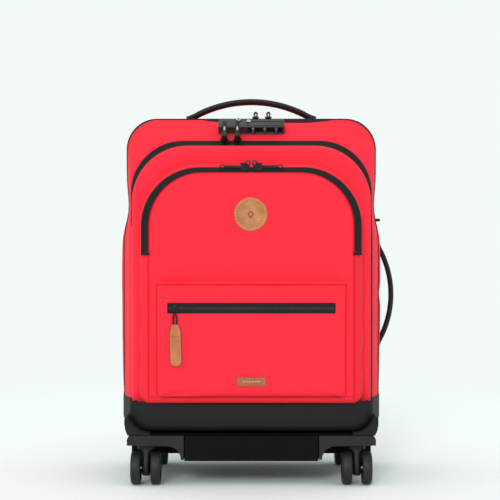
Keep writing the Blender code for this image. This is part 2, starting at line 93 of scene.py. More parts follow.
class Graph:
    """Short calls for wiring one material's nodes."""

    def __init__(self, material):
        self.tree = material.node_tree
        self.shader = self.tree.nodes["Principled BSDF"]
        self.coords = self.add("ShaderNodeTexCoord").outputs["Object"]

    def add(self, kind, **settings):
        node = self.tree.nodes.new(kind)
        for key, value in settings.items():
            setattr(node, key, value)
        return node

    def link(self, a, b):
        self.tree.links.new(a, b)

    def math(self, operation, a, b):
        node = self.add("ShaderNodeMath", operation=operation)
        for socket, value in zip(node.inputs, (a, b)):
            if isinstance(value, (int, float)):
                socket.default_value = value
            else:
                self.link(value, socket)
        return node.outputs[0]

    def noise(self, scale, detail=3.0, coords=None):
        node = self.add("ShaderNodeTexNoise")
        node.inputs["Scale"].default_value = scale
        node.inputs["Detail"].default_value = detail
        self.link(coords or self.coords, node.inputs["Vector"])
        return node.outputs["Fac"]

    def cells(self, scale):
        node = self.add("ShaderNodeTexVoronoi", feature="F1")
        node.inputs["Scale"].default_value = scale
        self.link(self.coords, node.inputs["Vector"])
        return node.outputs["Distance"]

    def threads(self, pitch):
        """Yarns that cross on front, side and top faces alike."""
        split = self.add("ShaderNodeSeparateXYZ")
        self.link(self.coords, split.inputs[0])
        x, y, z = split.outputs
        warp = self.math("SINE", self.math("MULTIPLY", self.math("ADD", x, y), 2 * pi / pitch), 0)
        weft = self.math("SINE", self.math("MULTIPLY", self.math("SUBTRACT", z, y), 2 * pi / pitch), 0)
        return self.math("MULTIPLY", warp, weft)

    def bump(self, height, strength, distance):
        node = self.add("ShaderNodeBump")
        node.inputs["Strength"].default_value = strength
        node.inputs["Distance"].default_value = distance
        self.link(height, node.inputs["Height"])
        self.link(node.outputs["Normal"], self.shader.inputs["Normal"])

    def tint(self, factor, dark, light):
        ramp = self.add("ShaderNodeValToRGB")
        for stop, place, colour in zip(ramp.color_ramp.elements, (0.3, 0.7), (dark, light)):
            stop.position = place
            stop.color = (*colour, 1)
        self.link(factor, ramp.inputs["Fac"])
        self.link(ramp.outputs["Color"], self.shader.inputs["Base Color"])

    def vary_roughness(self, factor, low, high):
        node = self.add("ShaderNodeMapRange")
        node.inputs["To Min"].default_value = low
        node.inputs["To Max"].default_value = high
        self.link(factor, node.inputs["Value"])
        self.link(node.outputs["Result"], self.shader.inputs["Roughness"])


def scaled(colour, factor):
    return tuple(c * factor for c in colour)


def woven(name, colour, pitch, spread=0.10, depth=0.00012, roughness=(0.7, 0.85), sheen=0.15):
    """A plain weave: crossing yarns, cloudy dye and a little fuzz."""
    material = new_material(name, colour, roughness[0])
    g = Graph(material)
    cloud = g.noise(9.0, 4.0)
    g.tint(cloud, scaled(colour, 1 - spread), scaled(colour, 1 + spread / 2))
    g.vary_roughness(cloud, *roughness)
    yarns = g.math("MULTIPLY", g.threads(pitch), 0.5)
    fuzz = g.math("MULTIPLY", g.noise(1400, 2), 0.5)
    g.bump(g.math("ADD", yarns, fuzz), 0.35, depth)
    g.shader.inputs["Sheen Weight"].default_value = sheen
    g.shader.inputs["Sheen Roughness"].default_value = 0.4
    g.shader.inputs["Specular IOR Level"].default_value = 0.25
    return material


def moulded(name, colour, roughness=(0.4, 0.55), grain=1800, depth=0.00006, coat=0.0, spec=0.4):
    """Injection-moulded plastic: a fine spark-eroded grain and faint handling marks."""
    material = new_material(name, colour, roughness[0])
    g = Graph(material)
    marks = g.noise(35, 5)
    g.tint(marks, scaled(colour, 0.85), scaled(colour, 1.2))
    g.vary_roughness(marks, *roughness)
    g.bump(g.noise(grain, 2), 0.4, depth)
    g.shader.inputs["Coat Weight"].default_value = coat
    g.shader.inputs["Specular IOR Level"].default_value = spec
    return material


def metal(name, colour, roughness=(0.25, 0.4), stretch=(1, 1, 40), metallic=1.0):
    """Brushed or lacquered metal, the brushing drawn out along one axis."""
    material = new_material(name, colour, roughness[0], metallic)
    g = Graph(material)
    mapping = g.add("ShaderNodeMapping")
    mapping.inputs["Scale"].default_value = stretch
    g.link(g.coords, mapping.inputs["Vector"])
    lines = g.noise(60, 4, mapping.outputs["Vector"])
    g.tint(lines, scaled(colour, 0.85), scaled(colour, 1.1))
    g.vary_roughness(lines, *roughness)
    g.bump(lines, 0.08, 0.0001)
    return material


def hide(name, colour):
    """Vegetable-tanned leather: pebbled grain, blotchy colour."""
    material = new_material(name, colour, 0.55)
    g = Graph(material)
    g.tint(g.noise(70, 6), scaled(colour, 0.78), scaled(colour, 1.12))
    g.vary_roughness(g.noise(300, 3), 0.45, 0.65)
    height = g.math("ADD", g.cells(900), g.math("MULTIPLY", g.noise(260, 4), 0.8))
    g.bump(height, 0.5, 0.00018)
    g.shader.inputs["Specular IOR Level"].default_value = 0.35
    return material


RED = (0.93, 0.0195, 0.0435)
red = woven("red_weave", RED, 0.0008, spread=0.05, sheen=0.03)
# The red weave darkened to 0.92 as painted shade, used on the side-facing gusset, the side pockets and the
# seam piping.
red_shaded = woven("red_shaded_weave", scaled(RED, 0.92), 0.0008, spread=0.05, sheen=0.02)
boot = woven("boot_weave", (0.0088, 0.0088, 0.009), 0.0011, 0.15, 0.0002, (0.6, 0.75), 0.03)
lining = woven("lining_weave", (0.045, 0.045, 0.05), 0.0006, 0.1, 0.00005, (0.5, 0.6))
tape = woven("zip_tape_weave", (0.0085, 0.0075, 0.0085), 0.0007, 0.1, 0.0001, (0.65, 0.8), 0.0)
strap = moulded("strap_soft_touch", (0.009, 0.009, 0.0085), (0.45, 0.6), 1200, 0.00005, spec=0.25)
plastic = moulded("moulded_black", (0.011, 0.011, 0.0113), (0.45, 0.6), spec=0.3)
base_plastic = moulded("moulded_base", (0.003, 0.003, 0.0031), (0.6, 0.75), 1500, 0.00008, spec=0.09)
lock_plastic = moulded("lock_satin", (0.028, 0.028, 0.028), (0.25, 0.38), 2500, 0.00002, 0.3)
lock_grey = moulded("lock_edge", (0.075, 0.075, 0.073), (0.3, 0.4), 2500, 0.00002, 0.3)
window_black = moulded("lock_window", (0.004, 0.004, 0.004), (0.15, 0.25), 2500, 0.00001)
coil = moulded("zip_coil_nylon", (0.02, 0.02, 0.02), (0.3, 0.45))
coil_light = moulded("pocket_coil_nylon", (0.05, 0.045, 0.045), (0.3, 0.45))
tread = moulded("wheel_polyurethane", (0.014, 0.014, 0.0145), (0.42, 0.58), 900, 0.00008, spec=0.3)
hub_plastic = moulded("wheel_hub", (0.010, 0.010, 0.0105), (0.4, 0.55), spec=0.3)
black_metal = metal("lacquered_black", (0.02, 0.02, 0.02), (0.25, 0.4), (1, 1, 1), 0.7)
steel = metal("steel_brushed", (0.5, 0.5, 0.5))
alloy = metal("anodised_tube", (0.55, 0.55, 0.57), (0.3, 0.42), (30, 30, 1))
patch_hide = hide("patch_leather", (0.51, 0.205, 0.077))
label_hide = hide("label_leather", (0.37, 0.115, 0.046))
tab_hide = hide("tab_leather", (0.50, 0.168, 0.063))
burnished = hide("burnished_leather", (0.17, 0.055, 0.028))
red_thread = woven("red_thread", scaled(RED, 0.72), 0.0004)
black_thread = woven("black_thread", (0.03, 0.03, 0.03), 0.0004)
tan_thread = woven("tan_thread", (0.62, 0.35, 0.18), 0.0004)
digit_white = moulded("digit_paint", (0.25, 0.25, 0.24), (0.4, 0.5))


# ------------------------------------------------------------------ mesh tools
def make(name, verts, faces, material, body=None, slot=None, replaces=(), smooth=50, extra=()):
    """A piece from points in case coordinates, hung on its body."""
    mesh = bpy.data.meshes.new(name)
    mesh.from_pydata([Vector(v) + SHIFT for v in verts], [], faces)
    bm = bmesh.new()
    bm.from_mesh(mesh)
    bmesh.ops.recalc_face_normals(bm, faces=bm.faces)
    bm.to_mesh(mesh)
    bm.free()
    for m in (material, *extra):
        mesh.materials.append(m)
    mesh.shade_smooth()
    if smooth:
        mesh.set_sharp_from_angle(angle=radians(smooth))
    piece = bpy.data.objects.new(name, mesh)
    bpy.context.scene.collection.objects.link(piece)
    if body:
        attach(piece, body)
    if replaces:
        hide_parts(*replaces)
    return piece


def add_modifier(piece, kind, **settings):
    modifier = piece.modifiers.new(kind.lower(), kind)
    for key, value in settings.items():
        setattr(modifier, key, value)
    return modifier


def subdivide(piece):
    add_modifier(piece, "SUBSURF", levels=1, render_levels=1)


def round_edges(piece, width, segments=3, angle=35):
    add_modifier(
        piece, "BEVEL", width=width, segments=segments, limit_method="ANGLE", angle_limit=radians(angle)
    )


def evaluated(piece):
    """A new mesh with the piece's modifiers worked in."""
    return bpy.data.meshes.new_from_object(piece.evaluated_get(bpy.context.evaluated_depsgraph_get()))


def cut_out(piece, verts, faces):
    """Take a closed shape away from a piece for good."""
    cutter = make(piece.name + "_cutter", verts, faces, red)
    add_modifier(piece, "BOOLEAN", object=cutter, solver="EXACT", operation="DIFFERENCE")
    mesh = evaluated(piece)
    piece.modifiers.clear()
    piece.data = mesh
    bpy.data.objects.remove(cutter)


def smoothstep(value, low, high):
    t = min(max((value - low) / (high - low), 0.0), 1.0)
    return t * t * (3 - 2 * t)


def mix(a, b, t):
    return a + (b - a) * t


def spread(low, high, count, ease=False):
    """Values from low to high, closer together towards high if eased."""
    steps = [i / (count - 1) for i in range(count)]
    return [mix(low, high, sin(t * pi / 2) if ease else t) for t in steps]


def rounding(beyond, radius):
    """How far a surface has drawn in, this far past the start of a rounded edge."""
    return radius - sqrt(max(radius**2 - max(0.0, beyond) ** 2, 0))


def ellipse(half_a, half_b, count):
    turns = [2 * pi * k / count for k in range(count)]
    return [(half_a * cos(t), half_b * sin(t)) for t in turns]


def full_oval(half_a, half_b, power_a, power_b, count):
    """An oval filled out towards a rectangle by powers below 1."""
    return [
        (copysign(half_a * abs(c) ** power_a, c), copysign(half_b * abs(s) ** power_b, s))
        for c, s in ellipse(1, 1, count)
    ]


def arc(cx, cy, radius, start, end, steps):
    """Points on an arc, angles in degrees."""
    turns = [radians(start + (end - start) * i / steps) for i in range(steps + 1)]
    return [(cx + radius * cos(a), cy + radius * sin(a)) for a in turns]


def line(a, b, steps):
    """Points from a towards b, without b."""
    return [(mix(a[0], b[0], i / steps), mix(a[1], b[1], i / steps)) for i in range(steps)]


def outline(half, low, high, r_top, r_low, steps=(8, 8, 34, 16, 36)):
    """A fine closed outline, anticlockwise, from the middle of the bottom edge."""
    bottom, low_arc, side, top_arc, top = steps
    right = line((0, low), (half - r_low, low), bottom)
    right += arc(half - r_low, low + r_low, r_low, -90, 0, low_arc)[:-1]
    right += line((half, low + r_low), (half, high - r_top), side)
    right += arc(half - r_top, high - r_top, r_top, 0, 90, top_arc)[:-1]
    right += line((half - r_top, high), (0, high), top // 2)
    left = [(-x, z) for x, z in reversed(right[1:])]
    return right + [(0, high)] + left


def loft_faces(count, rows, closed=True):
    """Quads over rows of count points each."""
    faces = []
    for r in range(rows - 1):
        for i in range(count if closed else count - 1):
            j = (i + 1) % count
            faces.append((r * count + i, r * count + j, (r + 1) * count + j, (r + 1) * count + i))
    return faces


def capped_loft(rings):
    """A closed shape through rings of points, with a face at each end."""
    n = len(rings[0])
    last = n * (len(rings) - 1)
    faces = loft_faces(n, len(rings)) + [tuple(range(n)), tuple(range(last, last + n))]
    return [p for ring in rings for p in ring], faces


def sweep(frames, profile, closed_path=False):
    """A closed profile carried along frames. A frame is (origin, a-axis, b-axis)."""
    rings = [[o + a * p + b * q for p, q in profile] for o, a, b in frames]
    verts, faces = capped_loft(rings)
    if closed_path:
        n = len(profile)
        last = len(verts) - n
        faces[-2:] = [(last + i, last + (i + 1) % n, (i + 1) % n, i) for i in range(n)]
    return verts, faces


def join(*shapes):
    """Several (points, faces) lists as one."""
    verts, faces = [], []
    for v, f in shapes:
        base = len(verts)
        verts += v
        faces += [tuple(i + base for i in face) for face in f]
    return verts, faces


def cuboid(low, high, matrix=None):
    xs, ys, zs = zip(low, high)
    verts = [Vector((x, y, z)) for x in xs for y in ys for z in zs]
    if matrix:
        verts = [matrix @ v for v in verts]
    faces = [(0, 1, 3, 2), (4, 6, 7, 5), (0, 4, 5, 1), (2, 3, 7, 6), (0, 2, 6, 4), (1, 5, 7, 3)]
    return verts, faces


def lathe(profile, steps, matrix):
    """A closed ring section turned about the matrix's Z axis. profile is (radius, height)."""
    frames = []
    for i in range(steps):
        a = 2 * pi * i / steps
        frames.append((Vector((0, 0, 0)), Vector((cos(a), sin(a), 0)), Vector((0, 0, 1))))
    verts, faces = sweep(frames, profile, closed_path=True)
    return [matrix @ v for v in verts], faces


def disc(profile, steps, matrix):
    """A solid of revolution. The profile starts and ends on the axis."""
    verts, faces = lathe(profile, steps, matrix)
    n = len(profile)
    faces = [f for f in faces if not ({0, n - 1} <= {i % n for i in f})]
    faces.append(tuple(i * n for i in range(steps)))
    faces.append(tuple(i * n + n - 1 for i in range(steps)))
    return verts, faces


def path_frames(points, up):
    """Frames along a path of points. up(point, tangent) gives the b-axis; a lies across."""
    frames = []
    count = len(points)
    for i, p in enumerate(points):
        tangent = (points[min(i + 1, count - 1)] - points[max(i - 1, 0)]).normalized()
        b = up(p, tangent)
        b = (b - tangent * b.dot(tangent)).normalized()
        frames.append((p, tangent.cross(b).normalized(), b))
    return frames


def resample(points, spacing, closed=False):
    """Points at an even spacing along a path."""
    pts = list(points) + ([points[0]] if closed else [])
    lengths = [0.0]
    for a, b in zip(pts, pts[1:]):
        lengths.append(lengths[-1] + (b - a).length)
    count = max(2, int(lengths[-1] / spacing))
    result, k = [], 0
    for i in range(count + (0 if closed else 1)):
        want = lengths[-1] * i / count
        while k < len(pts) - 2 and lengths[k + 1] < want:
            k += 1
        t = (want - lengths[k]) / max(lengths[k + 1] - lengths[k], 1e-9)
        result.append(pts[k].lerp(pts[k + 1], min(max(t, 0), 1)))
    return result


def beads(points, up, spacing, size, offset=(0.0, 0.0), closed=False):
    """Small blocks along a path, such as stitches or teeth. size is along, across, high."""
    pts = resample(points, spacing, closed)
    shapes = []
    for o, a, b in path_frames(pts, up):
        t = b.cross(a)
        o = o + a * offset[0] + b * offset[1]
        along, across, high = size[0] / 2, size[1] / 2 * 0.6, size[2] / 2
        verts = []
        for x, z in ((along, -high), (along * 0.7, high)):
            corners = ((-x, -across), (-x, across), (x, across), (x, -across))
            verts += [o + t * c + a * d + b * z for c, d in corners]
        faces = [(0, 1, 2, 3), (7, 6, 5, 4), (0, 4, 5, 1), (1, 5, 6, 2), (2, 6, 7, 3), (3, 7, 4, 0)]
        shapes.append((verts, faces))
    return join(*shapes)


def outward(p, tangent):
    """Towards the front, for paths on the front face."""
    return Vector((0, -1, 0))


def backward(p, tangent):
    """The same for the back face."""
    return Vector((0, 1, 0))


def cord_profile(radius):
    return ellipse(radius, radius, 8)


def block(name, low, high, material, body, slot, ease, node=(), segments=4):
    """A box with rounded edges."""
    round_edges(make(name, *cuboid(low, high), material, body, slot, node), ease, segments)


# ------------------------------------------------------------------ soft shells
def cloth_ripple(p, amount):
    """Slow waves in stretched fabric, the same on every run."""
    q = Vector((p.x * 9, p.y * 14, p.z * 7))
    return amount * (noise.noise(q) + 0.4 * noise.noise(q * 2.7))


def slim(p):
    """The upper body is a little narrower than the boots."""
    depth = min(max((p.y - LID_ZIP_Y) / 0.045, 0.0), 1.0)
    pinch = 0.0045 * exp(-(((p.z - 0.385) / 0.028) ** 2))
    pull = (0.005 * smoothstep(p.z, 0.34, 0.42) + pinch) * depth
    return Vector((p.x * (1 - pull / BODY_HALF), p.y, p.z))


CAP_RINGS = 10


def shell(name, stations, body, node, shape, wall=0.0026, lined_face=False):
    """A fabric tray: outer skin from rim to closed face, then a lining inside.

    stations are (y, half, low, high, r_top, r_low). shape moves each outer point. lined_face is for
    a face that looks into a compartment.
    """
    rim_y, face_y = stations[0][0], stations[-1][0]
    inward = 1 if rim_y > face_y else -1

    def ring(station, inset):
        y, half, low, high, r_top, r_low = station
        radii = max(r_top - inset, 0.001), max(r_low - inset, 0.001)
        pts = outline(half - inset, low + inset, high - inset, *radii)
        return [Vector((x, y, z)) for x, z in pts]

    def shrunk(points, t):
        centre = Vector((0, points[0].y, sum(p.z for p in points) / len(points)))
        return [centre.lerp(p, t) for p in points]

    outer = [ring(s, 0) for s in stations]
    face = outer[-1]
    outer += [shrunk(face, 1 - (k / CAP_RINGS)) for k in range(1, CAP_RINGS)] + [shrunk(face, 0.02)]
    inside = []
    for s in stations:
        y = s[0]
        limit = face_y + inward * wall
        y = max(y, limit) if inward > 0 else min(y, limit)
        inside.append(ring((y, *s[1:]), wall))
    face = inside[-1]
    inside += [shrunk(face, 1 - (k / 4)) for k in range(1, 4)] + [shrunk(face, 0.02)]
    outer = [[shape(p) for p in row] for row in outer]
    inside = [[slim(p) for p in row] for row in inside]
    verts, faces = capped_loft(list(reversed(outer)) + inside)
    piece = make(name, verts, faces, red, body, "red_fabric", (node,), 50, (lining,))
    count = len(outer[0])
    lining_start = len(outer) * count
    face_end = (CAP_RINGS + 1) * count if lined_face else 0
    for polygon, face in zip(piece.data.polygons, faces):
        if min(face) >= lining_start or max(face) < face_end:
            polygon.material_index = 1
    return piece


def boot_edge(p):
    """Height of the edge between boot and coloured fabric: crowned at the front, higher at the sides."""
    rise = 0.0045 * min(abs(p.x) / 0.172, 1.0) ** 2
    back = 0.0025 * smoothstep(p.y, -0.06, 0.02) * min(abs(p.x) / 0.18, 1.0) ** 2
    return 0.1128 + rise + back


# ------------------------------------------------------------------ outlines of the sections
def rear_station(y):
    """The rear half: straight sides with a rounded back edge."""
    radius = 0.014
    inset = rounding(y - (BACK_Y - radius), radius) + 0.0012
    return (y, BODY_HALF - inset, 0.0725 + inset, 0.5190 - inset, 0.044, radius)


def middle_station(y):
    """The main lid slopes from the front compartment's outline up to the rear half's."""
    t = (y - MIDDLE_FRONT_Y) / MIDDLE_DEPTH
    return (y, mix(LID_HALF, 0.1852, t), 0.0737, mix(LID_TOP, 0.5182, t), mix(LID_RADIUS, 0.044, t), 0.014)


def front_station(y):
    """The front compartment: its face edge is rounded."""
    radius = 0.010
    inset = rounding((LID_FACE_Y + radius) - y, radius)
    lean = (-0.0603 - y) * 0.10
    return (y, LID_HALF - lean * 0.6 - inset, 0.0752 + inset, LID_TOP - lean - inset, LID_RADIUS, 0.036)


def organiser_station(y):
    """The organiser's gusset, rounded where it turns onto the face."""
    radius = 0.009
    inset = rounding((ORG_Y + radius) - y, radius)
    lean = (-0.0856 - y) * 0.10
    return (y, 0.1568 - lean - inset, 0.1143 + inset, 0.4502 - lean - inset, 0.083, 0.012)


def soft_side(p, amount=0.0003):
    """Foam-backed sides: a gentle belly, and creases that run from the corners."""
    p = slim(p)
    belly = amount * sin(pi * min(max((p.z - 0.12) / 0.36, 0), 1))
    side = smoothstep(abs(p.x), 0.15, 0.18)
    wave = cloth_ripple(p, 0.0010)
    return Vector((p.x + (belly + wave) * side * (1 if p.x > 0 else -1), p.y, p.z + wave * (1 - side) * 0.5))


def rear_fabric():
    ys = spread(-0.0147, 0.095, 14) + spread(0.0985, BACK_Y - 0.0002, 9, True)
    piece = shell("rear_fabric", [rear_station(y) for y in ys], "case", "rear_shell", soft_side)
    low, high = local_box("trolley_cup")
    overlap = 0.0004
    low += Vector((overlap, overlap, -0.001))
    cut_out(piece, *cuboid(low, high + Vector((-overlap, -overlap, 0.02))))


def back_seams():
    """Two upright seams over the trolley and one across, above the boot."""
    for side, name in ((-1, "left"), (1, "right")):
        path = [Vector((side * 0.100, BACK_Y - 0.0001, z)) for z in spread(0.150, 0.4985, 60)]
        piping("back_seam_" + name, path, 0.0008, "case")
        for off, which in ((-0.0026, "inner"), (0.0026, "outer")):
            row = [p + Vector((off, 0.0003, 0)) for p in path]
            stitch_row("back_stitches_%s_%s" % (name, which), row, backward, "case", red_thread, "red_fabric")
    path = [Vector((x, BACK_Y - 0.0001, 0.150)) for x in spread(-0.168, 0.168, 80)]
    piping("back_seam_low", path, 0.0008, "case")


def taut(p):
    """The main lid's ring: held by its zips, loose halfway between them."""
    p = slim(p)
    wave = cloth_ripple(p, 0.0010)
    middle = sin(pi * min(max((p.y - MIDDLE_FRONT_Y) / MIDDLE_DEPTH, 0), 1))
    push = 0.0012 * middle + wave * middle
    return Vector((p.x * (1 + push / 0.18), p.y, p.z + push * smoothstep(p.z, 0.40, 0.47)))


def middle_fabric():
    stations = [middle_station(y) for y in spread(MIDDLE_FRONT_Y, -0.0153, 9)]
    shell("middle_fabric", stations, "main_lid", "middle_shell", taut, lined_face=True)


def front_fabric():
    ys = spread(-0.0603, -0.0745, 5) + spread(-0.0755, LID_FACE_Y + 0.0001, 8, True)
    stations = [front_station(y) for y in ys]
    shell("front_fabric", stations, "front_lid", "front_shell", lambda p: p, 0.0024)


def back_lining():
    """A padded cloth over the trolley's tubes, inside the main compartment."""
    verts = []
    columns, rows = 24, 24
    for i in range(rows + 1):
        for j in range(columns + 1):
            u, v = 2 * j / columns - 1, 2 * i / rows - 1
            quilt = 0.0012 * (1 - u**6) * (1 - v**6) * (0.6 + 0.4 * cos(u * 9) * cos(v * 12))
            verts.append(Vector((0.1765 * u, 0.0830 - quilt, 0.2815 + 0.1985 * v)))
    faces = loft_faces(columns + 1, rows + 1, closed=False)
    piece = make("back_lining", verts, faces, lining, "case", "boot_fabric")
    add_modifier(piece, "SOLIDIFY", thickness=0.0012, offset=1)
    row = [Vector((x, 0.0815, 0.4770)) for x in spread(-0.170, 0.170, 120)]
    stitch_row("back_lining_stitches", row, outward, "case", black_thread, "boot_fabric")


# ------------------------------------------------------------------ organiser on the front
PANEL_HALF, PANEL_LOW, PANEL_HIGH, PANEL_RADIUS = 0.1440, 0.1240, 0.4377, 0.075


def gusset_ripple(p):
    """Upright soft folds where the organiser's side is gathered into the boot."""
    fold = 0.0011 * sin(p.z * 95 + p.y * 60) * (1 - smoothstep(p.z, 0.16, 0.34))
    side = smoothstep(abs(p.x), 0.140, 0.150)
    return Vector((p.x + (fold + cloth_ripple(p, 0.0009)) * side * (1 if p.x > 0 else -1), p.y, p.z))


def organiser_gusset():
    """The band of fabric round the organiser, from the compartment's face to the zip."""
    ys = spread(-0.0856, -0.1005, 6) + spread(-0.1015, ORG_Y + 0.0001, 8, True)
    rows = []
    for y in ys:
        _, half, low, high, r_top, r_low = organiser_station(y)
        rows.append([gusset_ripple(Vector((x, y, z))) for x, z in outline(half, low, high, r_top, r_low)])
    edge, rim = (0.1468, 0.1225, 0.4392, 0.076), (PANEL_HALF + 0.0002, PANEL_LOW, PANEL_HIGH + 0.0002, 0.072)
    for t in (0.35, 0.7, 1.0):
        pts = outline(*(mix(a, b, t) for a, b in zip(edge, rim)), 0.004)
        rows.append([Vector((x, ORG_Y - 0.0002, z)) for x, z in pts])
    verts = [p for row in rows for p in row]
    faces = loft_faces(len(rows[0]), len(rows))
    # The gusset takes the darker red: painted shade on side-facing fabric.
    piece = make("organiser_gusset", verts, faces, red_shaded, "front_lid", "red_fabric", ("organiser_shell",),
                 60, (lining,))
    add_modifier(piece, "SOLIDIFY", thickness=0.002, offset=-1, material_offset=1, material_offset_rim=0)


def panel_rows():
    """Heights and half widths of the front panel, closer together round its top corners."""
    rows = [(z, PANEL_HALF) for z in spread(PANEL_LOW, PANEL_HIGH - PANEL_RADIUS, 64)]
    for x, z in arc(PANEL_HALF - PANEL_RADIUS, PANEL_HIGH - PANEL_RADIUS, PANEL_RADIUS, 4, 90, 22):
        rows.append((z, x))
    return rows


def panel_y(x, z, half):
    """Depth of the front panel's surface: flat at its edges, full over the upper half."""
    edge = (1 - (x / half) ** 4) * (1 - (2 * (z - PANEL_LOW) / (PANEL_HIGH - PANEL_LOW) - 1) ** 6)
    belly = 0.0022 * edge * smoothstep(z, 0.27, 0.36)
    pull = 0.0006 * edge * noise.noise(Vector((x * 8, 1.7, z * 9)))
    return ORG_Y - 0.0003 - belly - pull


def front_panel():
    """One sheet for the organiser's face, hung on no body and baked where it lies."""
    columns = 56
    verts = []
    for z, half in panel_rows():
        for i in range(columns + 1):
            x = half * (2 * i / columns - 1)
            verts.append(Vector((x, panel_y(x, z, half), z)))
    faces = loft_faces(columns + 1, len(verts) // (columns + 1), closed=False)
    piece = make("organiser_front_panel", verts, faces, red, None, "red_fabric", ("organiser_flap",), 60,
                 (lining,))
    add_modifier(piece, "SOLIDIFY", thickness=0.0018, offset=-1, material_offset=1, material_offset_rim=0)
    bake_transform(piece)


# ------------------------------------------------------------------ boots
def boot_skin(name, stations, body, node, with_face, lift=0.0012, bulge=0.0):
    """A black sleeve over the foot of a section: sides, underside and, on outer sections, its face."""
    rows, keep = [], None
    for y, half, low, _, _, r_low in stations:
        pts = outline(half + lift, low - lift, 0.30, 0.02, r_low + lift, (18, 12, 60, 8, 24))
        pts = pts[len(pts) // 2:] + pts[:len(pts) // 2]
        keep = keep or [i for i, p in enumerate(pts) if p[1] <= 0.1175]
        row = [Vector((pts[i][0], y, pts[i][1])) for i in keep]
        rows.append([Vector((p.x, p.y, min(p.z, boot_edge(p)))) for p in row])
    if with_face:
        last = rows[-1]
        n = len(last)
        half = max(p.x for p in last)
        for k in range(1, 13):
            t = k / 12
            row = []
            for i, p in enumerate(last):
                x = -half + 2 * half * i / (n - 1)
                top = Vector((x, p.y, boot_edge(Vector((x, p.y, 0)))))
                q = p.lerp(top, t)
                swell = bulge * sin(pi * min(t * 1.2, 1)) * (1 - (abs(q.x) / half) ** 4)
                row.append(Vector((q.x, q.y + swell, q.z)))
            rows.append(row)
    verts = [p for row in rows for p in row]
    faces = loft_faces(len(rows[0]), len(rows), closed=False)
    piece = make(name, verts, faces, boot, body, "boot_fabric", (node,), 60)
    add_modifier(piece, "SOLIDIFY", thickness=0.0011, offset=-1)


def front_boot_station(y):
    radius = 0.010
    inset = rounding((-0.0997 + radius) - y, radius)
    return (y, 0.1722 - inset, 0.0740 + inset, 0.2, 0.012, 0.030)


def boots():
    ys = spread(-0.0147, 0.095, 8) + spread(0.0985, BACK_Y, 7, True)
    stations = [(y + 0.0012 * smoothstep(y, 0.08, 0.1), *s) for y, *s in map(rear_station, ys)]
    boot_skin("rear_boot_sleeve", stations, "case", "rear_boot", True)
    stations = [middle_station(y) for y in spread(MIDDLE_FRONT_Y, -0.0153, 5)]
    boot_skin("middle_boot_sleeve", stations, "main_lid", "middle_boot", False)
    ys = spread(-0.0603, -0.0890, 6) + spread(-0.0899, -0.0996, 7, True)
    stations = [front_boot_station(y) for y in ys]
    boot_skin("front_boot_sleeve", stations, "front_lid", "front_boot", True, 0.0, -0.0015)


# ------------------------------------------------------------------ zips, piping and seams
def kept(points, low, like=None):
    """The stretch of an outline above a height, from the right foot over the top to the left.

    like is another outline with as many points, whose own stretch is taken instead.
    """
    return [p for p, q in zip(points, like or points) if q[1] >= low]


ZIP_FOOT = 0.100


def strip(name, rows, body):
    """A strip of zip tape through rows of points that run beside each other."""
    make(name, *capped_loft(list(zip(*rows))), tape, body, "zip_tape", (), 40)


def band(name, near, far, lift, thick, body, shape):
    """A strip of tape that lies on the skin between two stations."""
    rows, first = [], None
    for station, raise_by in ((near, lift), (far, lift), (far, lift - thick), (near, lift - thick)):
        y, half, base, high, r_top, r_low = station
        pts = outline(half + raise_by, base - raise_by, high + raise_by, r_top + raise_by, r_low + raise_by)
        first = first or pts
        rows.append([shape(Vector((x, y, z))) for x, z in kept(pts, ZIP_FOOT, first)])
    strip(name, rows, body)


def tucked(p, depth=0.0006):
    """Low on the sides a zip sinks into the fabric."""
    q = slim(p)
    under = depth * (1 - smoothstep(p.z, 0.345, 0.375)) * smoothstep(p.z, 0.112, 0.122)
    return Vector((q.x - under * (1 if q.x > 0 else -1), q.y, q.z))


def left_tucked(p):
    """The front compartment's zip is covered low on the left only."""
    return tucked(p, 0.0016) if p.x < 0 else slim(p)


def outline_path(station, lift, low, shape=slim):
    y, half, base, high, r_top, r_low = station
    pts = outline(half + lift, base - lift, high + lift, r_top + lift, r_low + lift)
    return [shape(Vector((x, y, z))) for x, z in kept(pts, low)]


def up_out(p, tangent):
    """Outward from the case in the plane of an outline."""
    return Vector((tangent.z, 0, -tangent.x))


def piping(name, path, radius, body):
    frames = path_frames(resample(path, 0.004), up_out)
    # Piping takes the darker red: painted shade along the seam.
    make(name, *sweep(frames, cord_profile(radius)), red_shaded, body, "red_fabric", (), 0)


STITCH = (0.0021, 0.0006, 0.0004)
COIL = (0.0014, 0.0014, 0.0008)


def stitch_row(name, path, up, body, material, slot, size=STITCH, spacing=0.0031, offset=(0, 0),
               closed=False):
    """A line of stitches, or of a zip's teeth. size is along, across, high."""
    make(name, *beads(path, up, spacing, size, offset, closed), material, body, slot, (), 30)


def section_zips():
    """Front compartment zip and main zip, each in two halves that part with their sections."""
    for name, station, near, far, teeth, lift, body, shape in (
        ("lid_zip_%s_front", front_station, -0.0603, -0.0665, -0.0609, 0.0009, "front_lid", left_tucked),
        ("lid_zip_%s_middle", middle_station, -0.0597, -0.0530, -0.0591, 0.0009, "main_lid", left_tucked),
        ("main_zip_%s_middle", middle_station, -0.0167, -0.0153, -0.0159, 0.0008, "main_lid", tucked),
        ("main_zip_%s_rear", rear_station, -0.0147, -0.0085, -0.0141, 0.0008, "case", tucked),
    ):
        band(name % "tape", station(near), station(far), lift, lift - 0.0001, body, shape)
        path = outline_path(station(teeth), 0.0009, ZIP_FOOT, shape)
        stitch_row(name % "coil", path, up_out, body, coil, "zip_tape", COIL, 0.0026)
    for name, station, lift, body in (
        ("lid_zip_stitches", middle_station(-0.0515), 0.0009, "main_lid"),
        ("main_zip_stitches", middle_station(-0.0195), 0.0006, "main_lid"),
        ("rear_zip_stitches", rear_station(-0.0075), 0.0009, "case"),
    ):
        stitch_row(name, outline_path(station, lift, ZIP_FOOT), up_out, body, red_thread, "red_fabric")
    piping("rear_edge_piping", outline_path(rear_station(0.1065), 0.0006, 0.12, soft_side), 0.0017, "case")


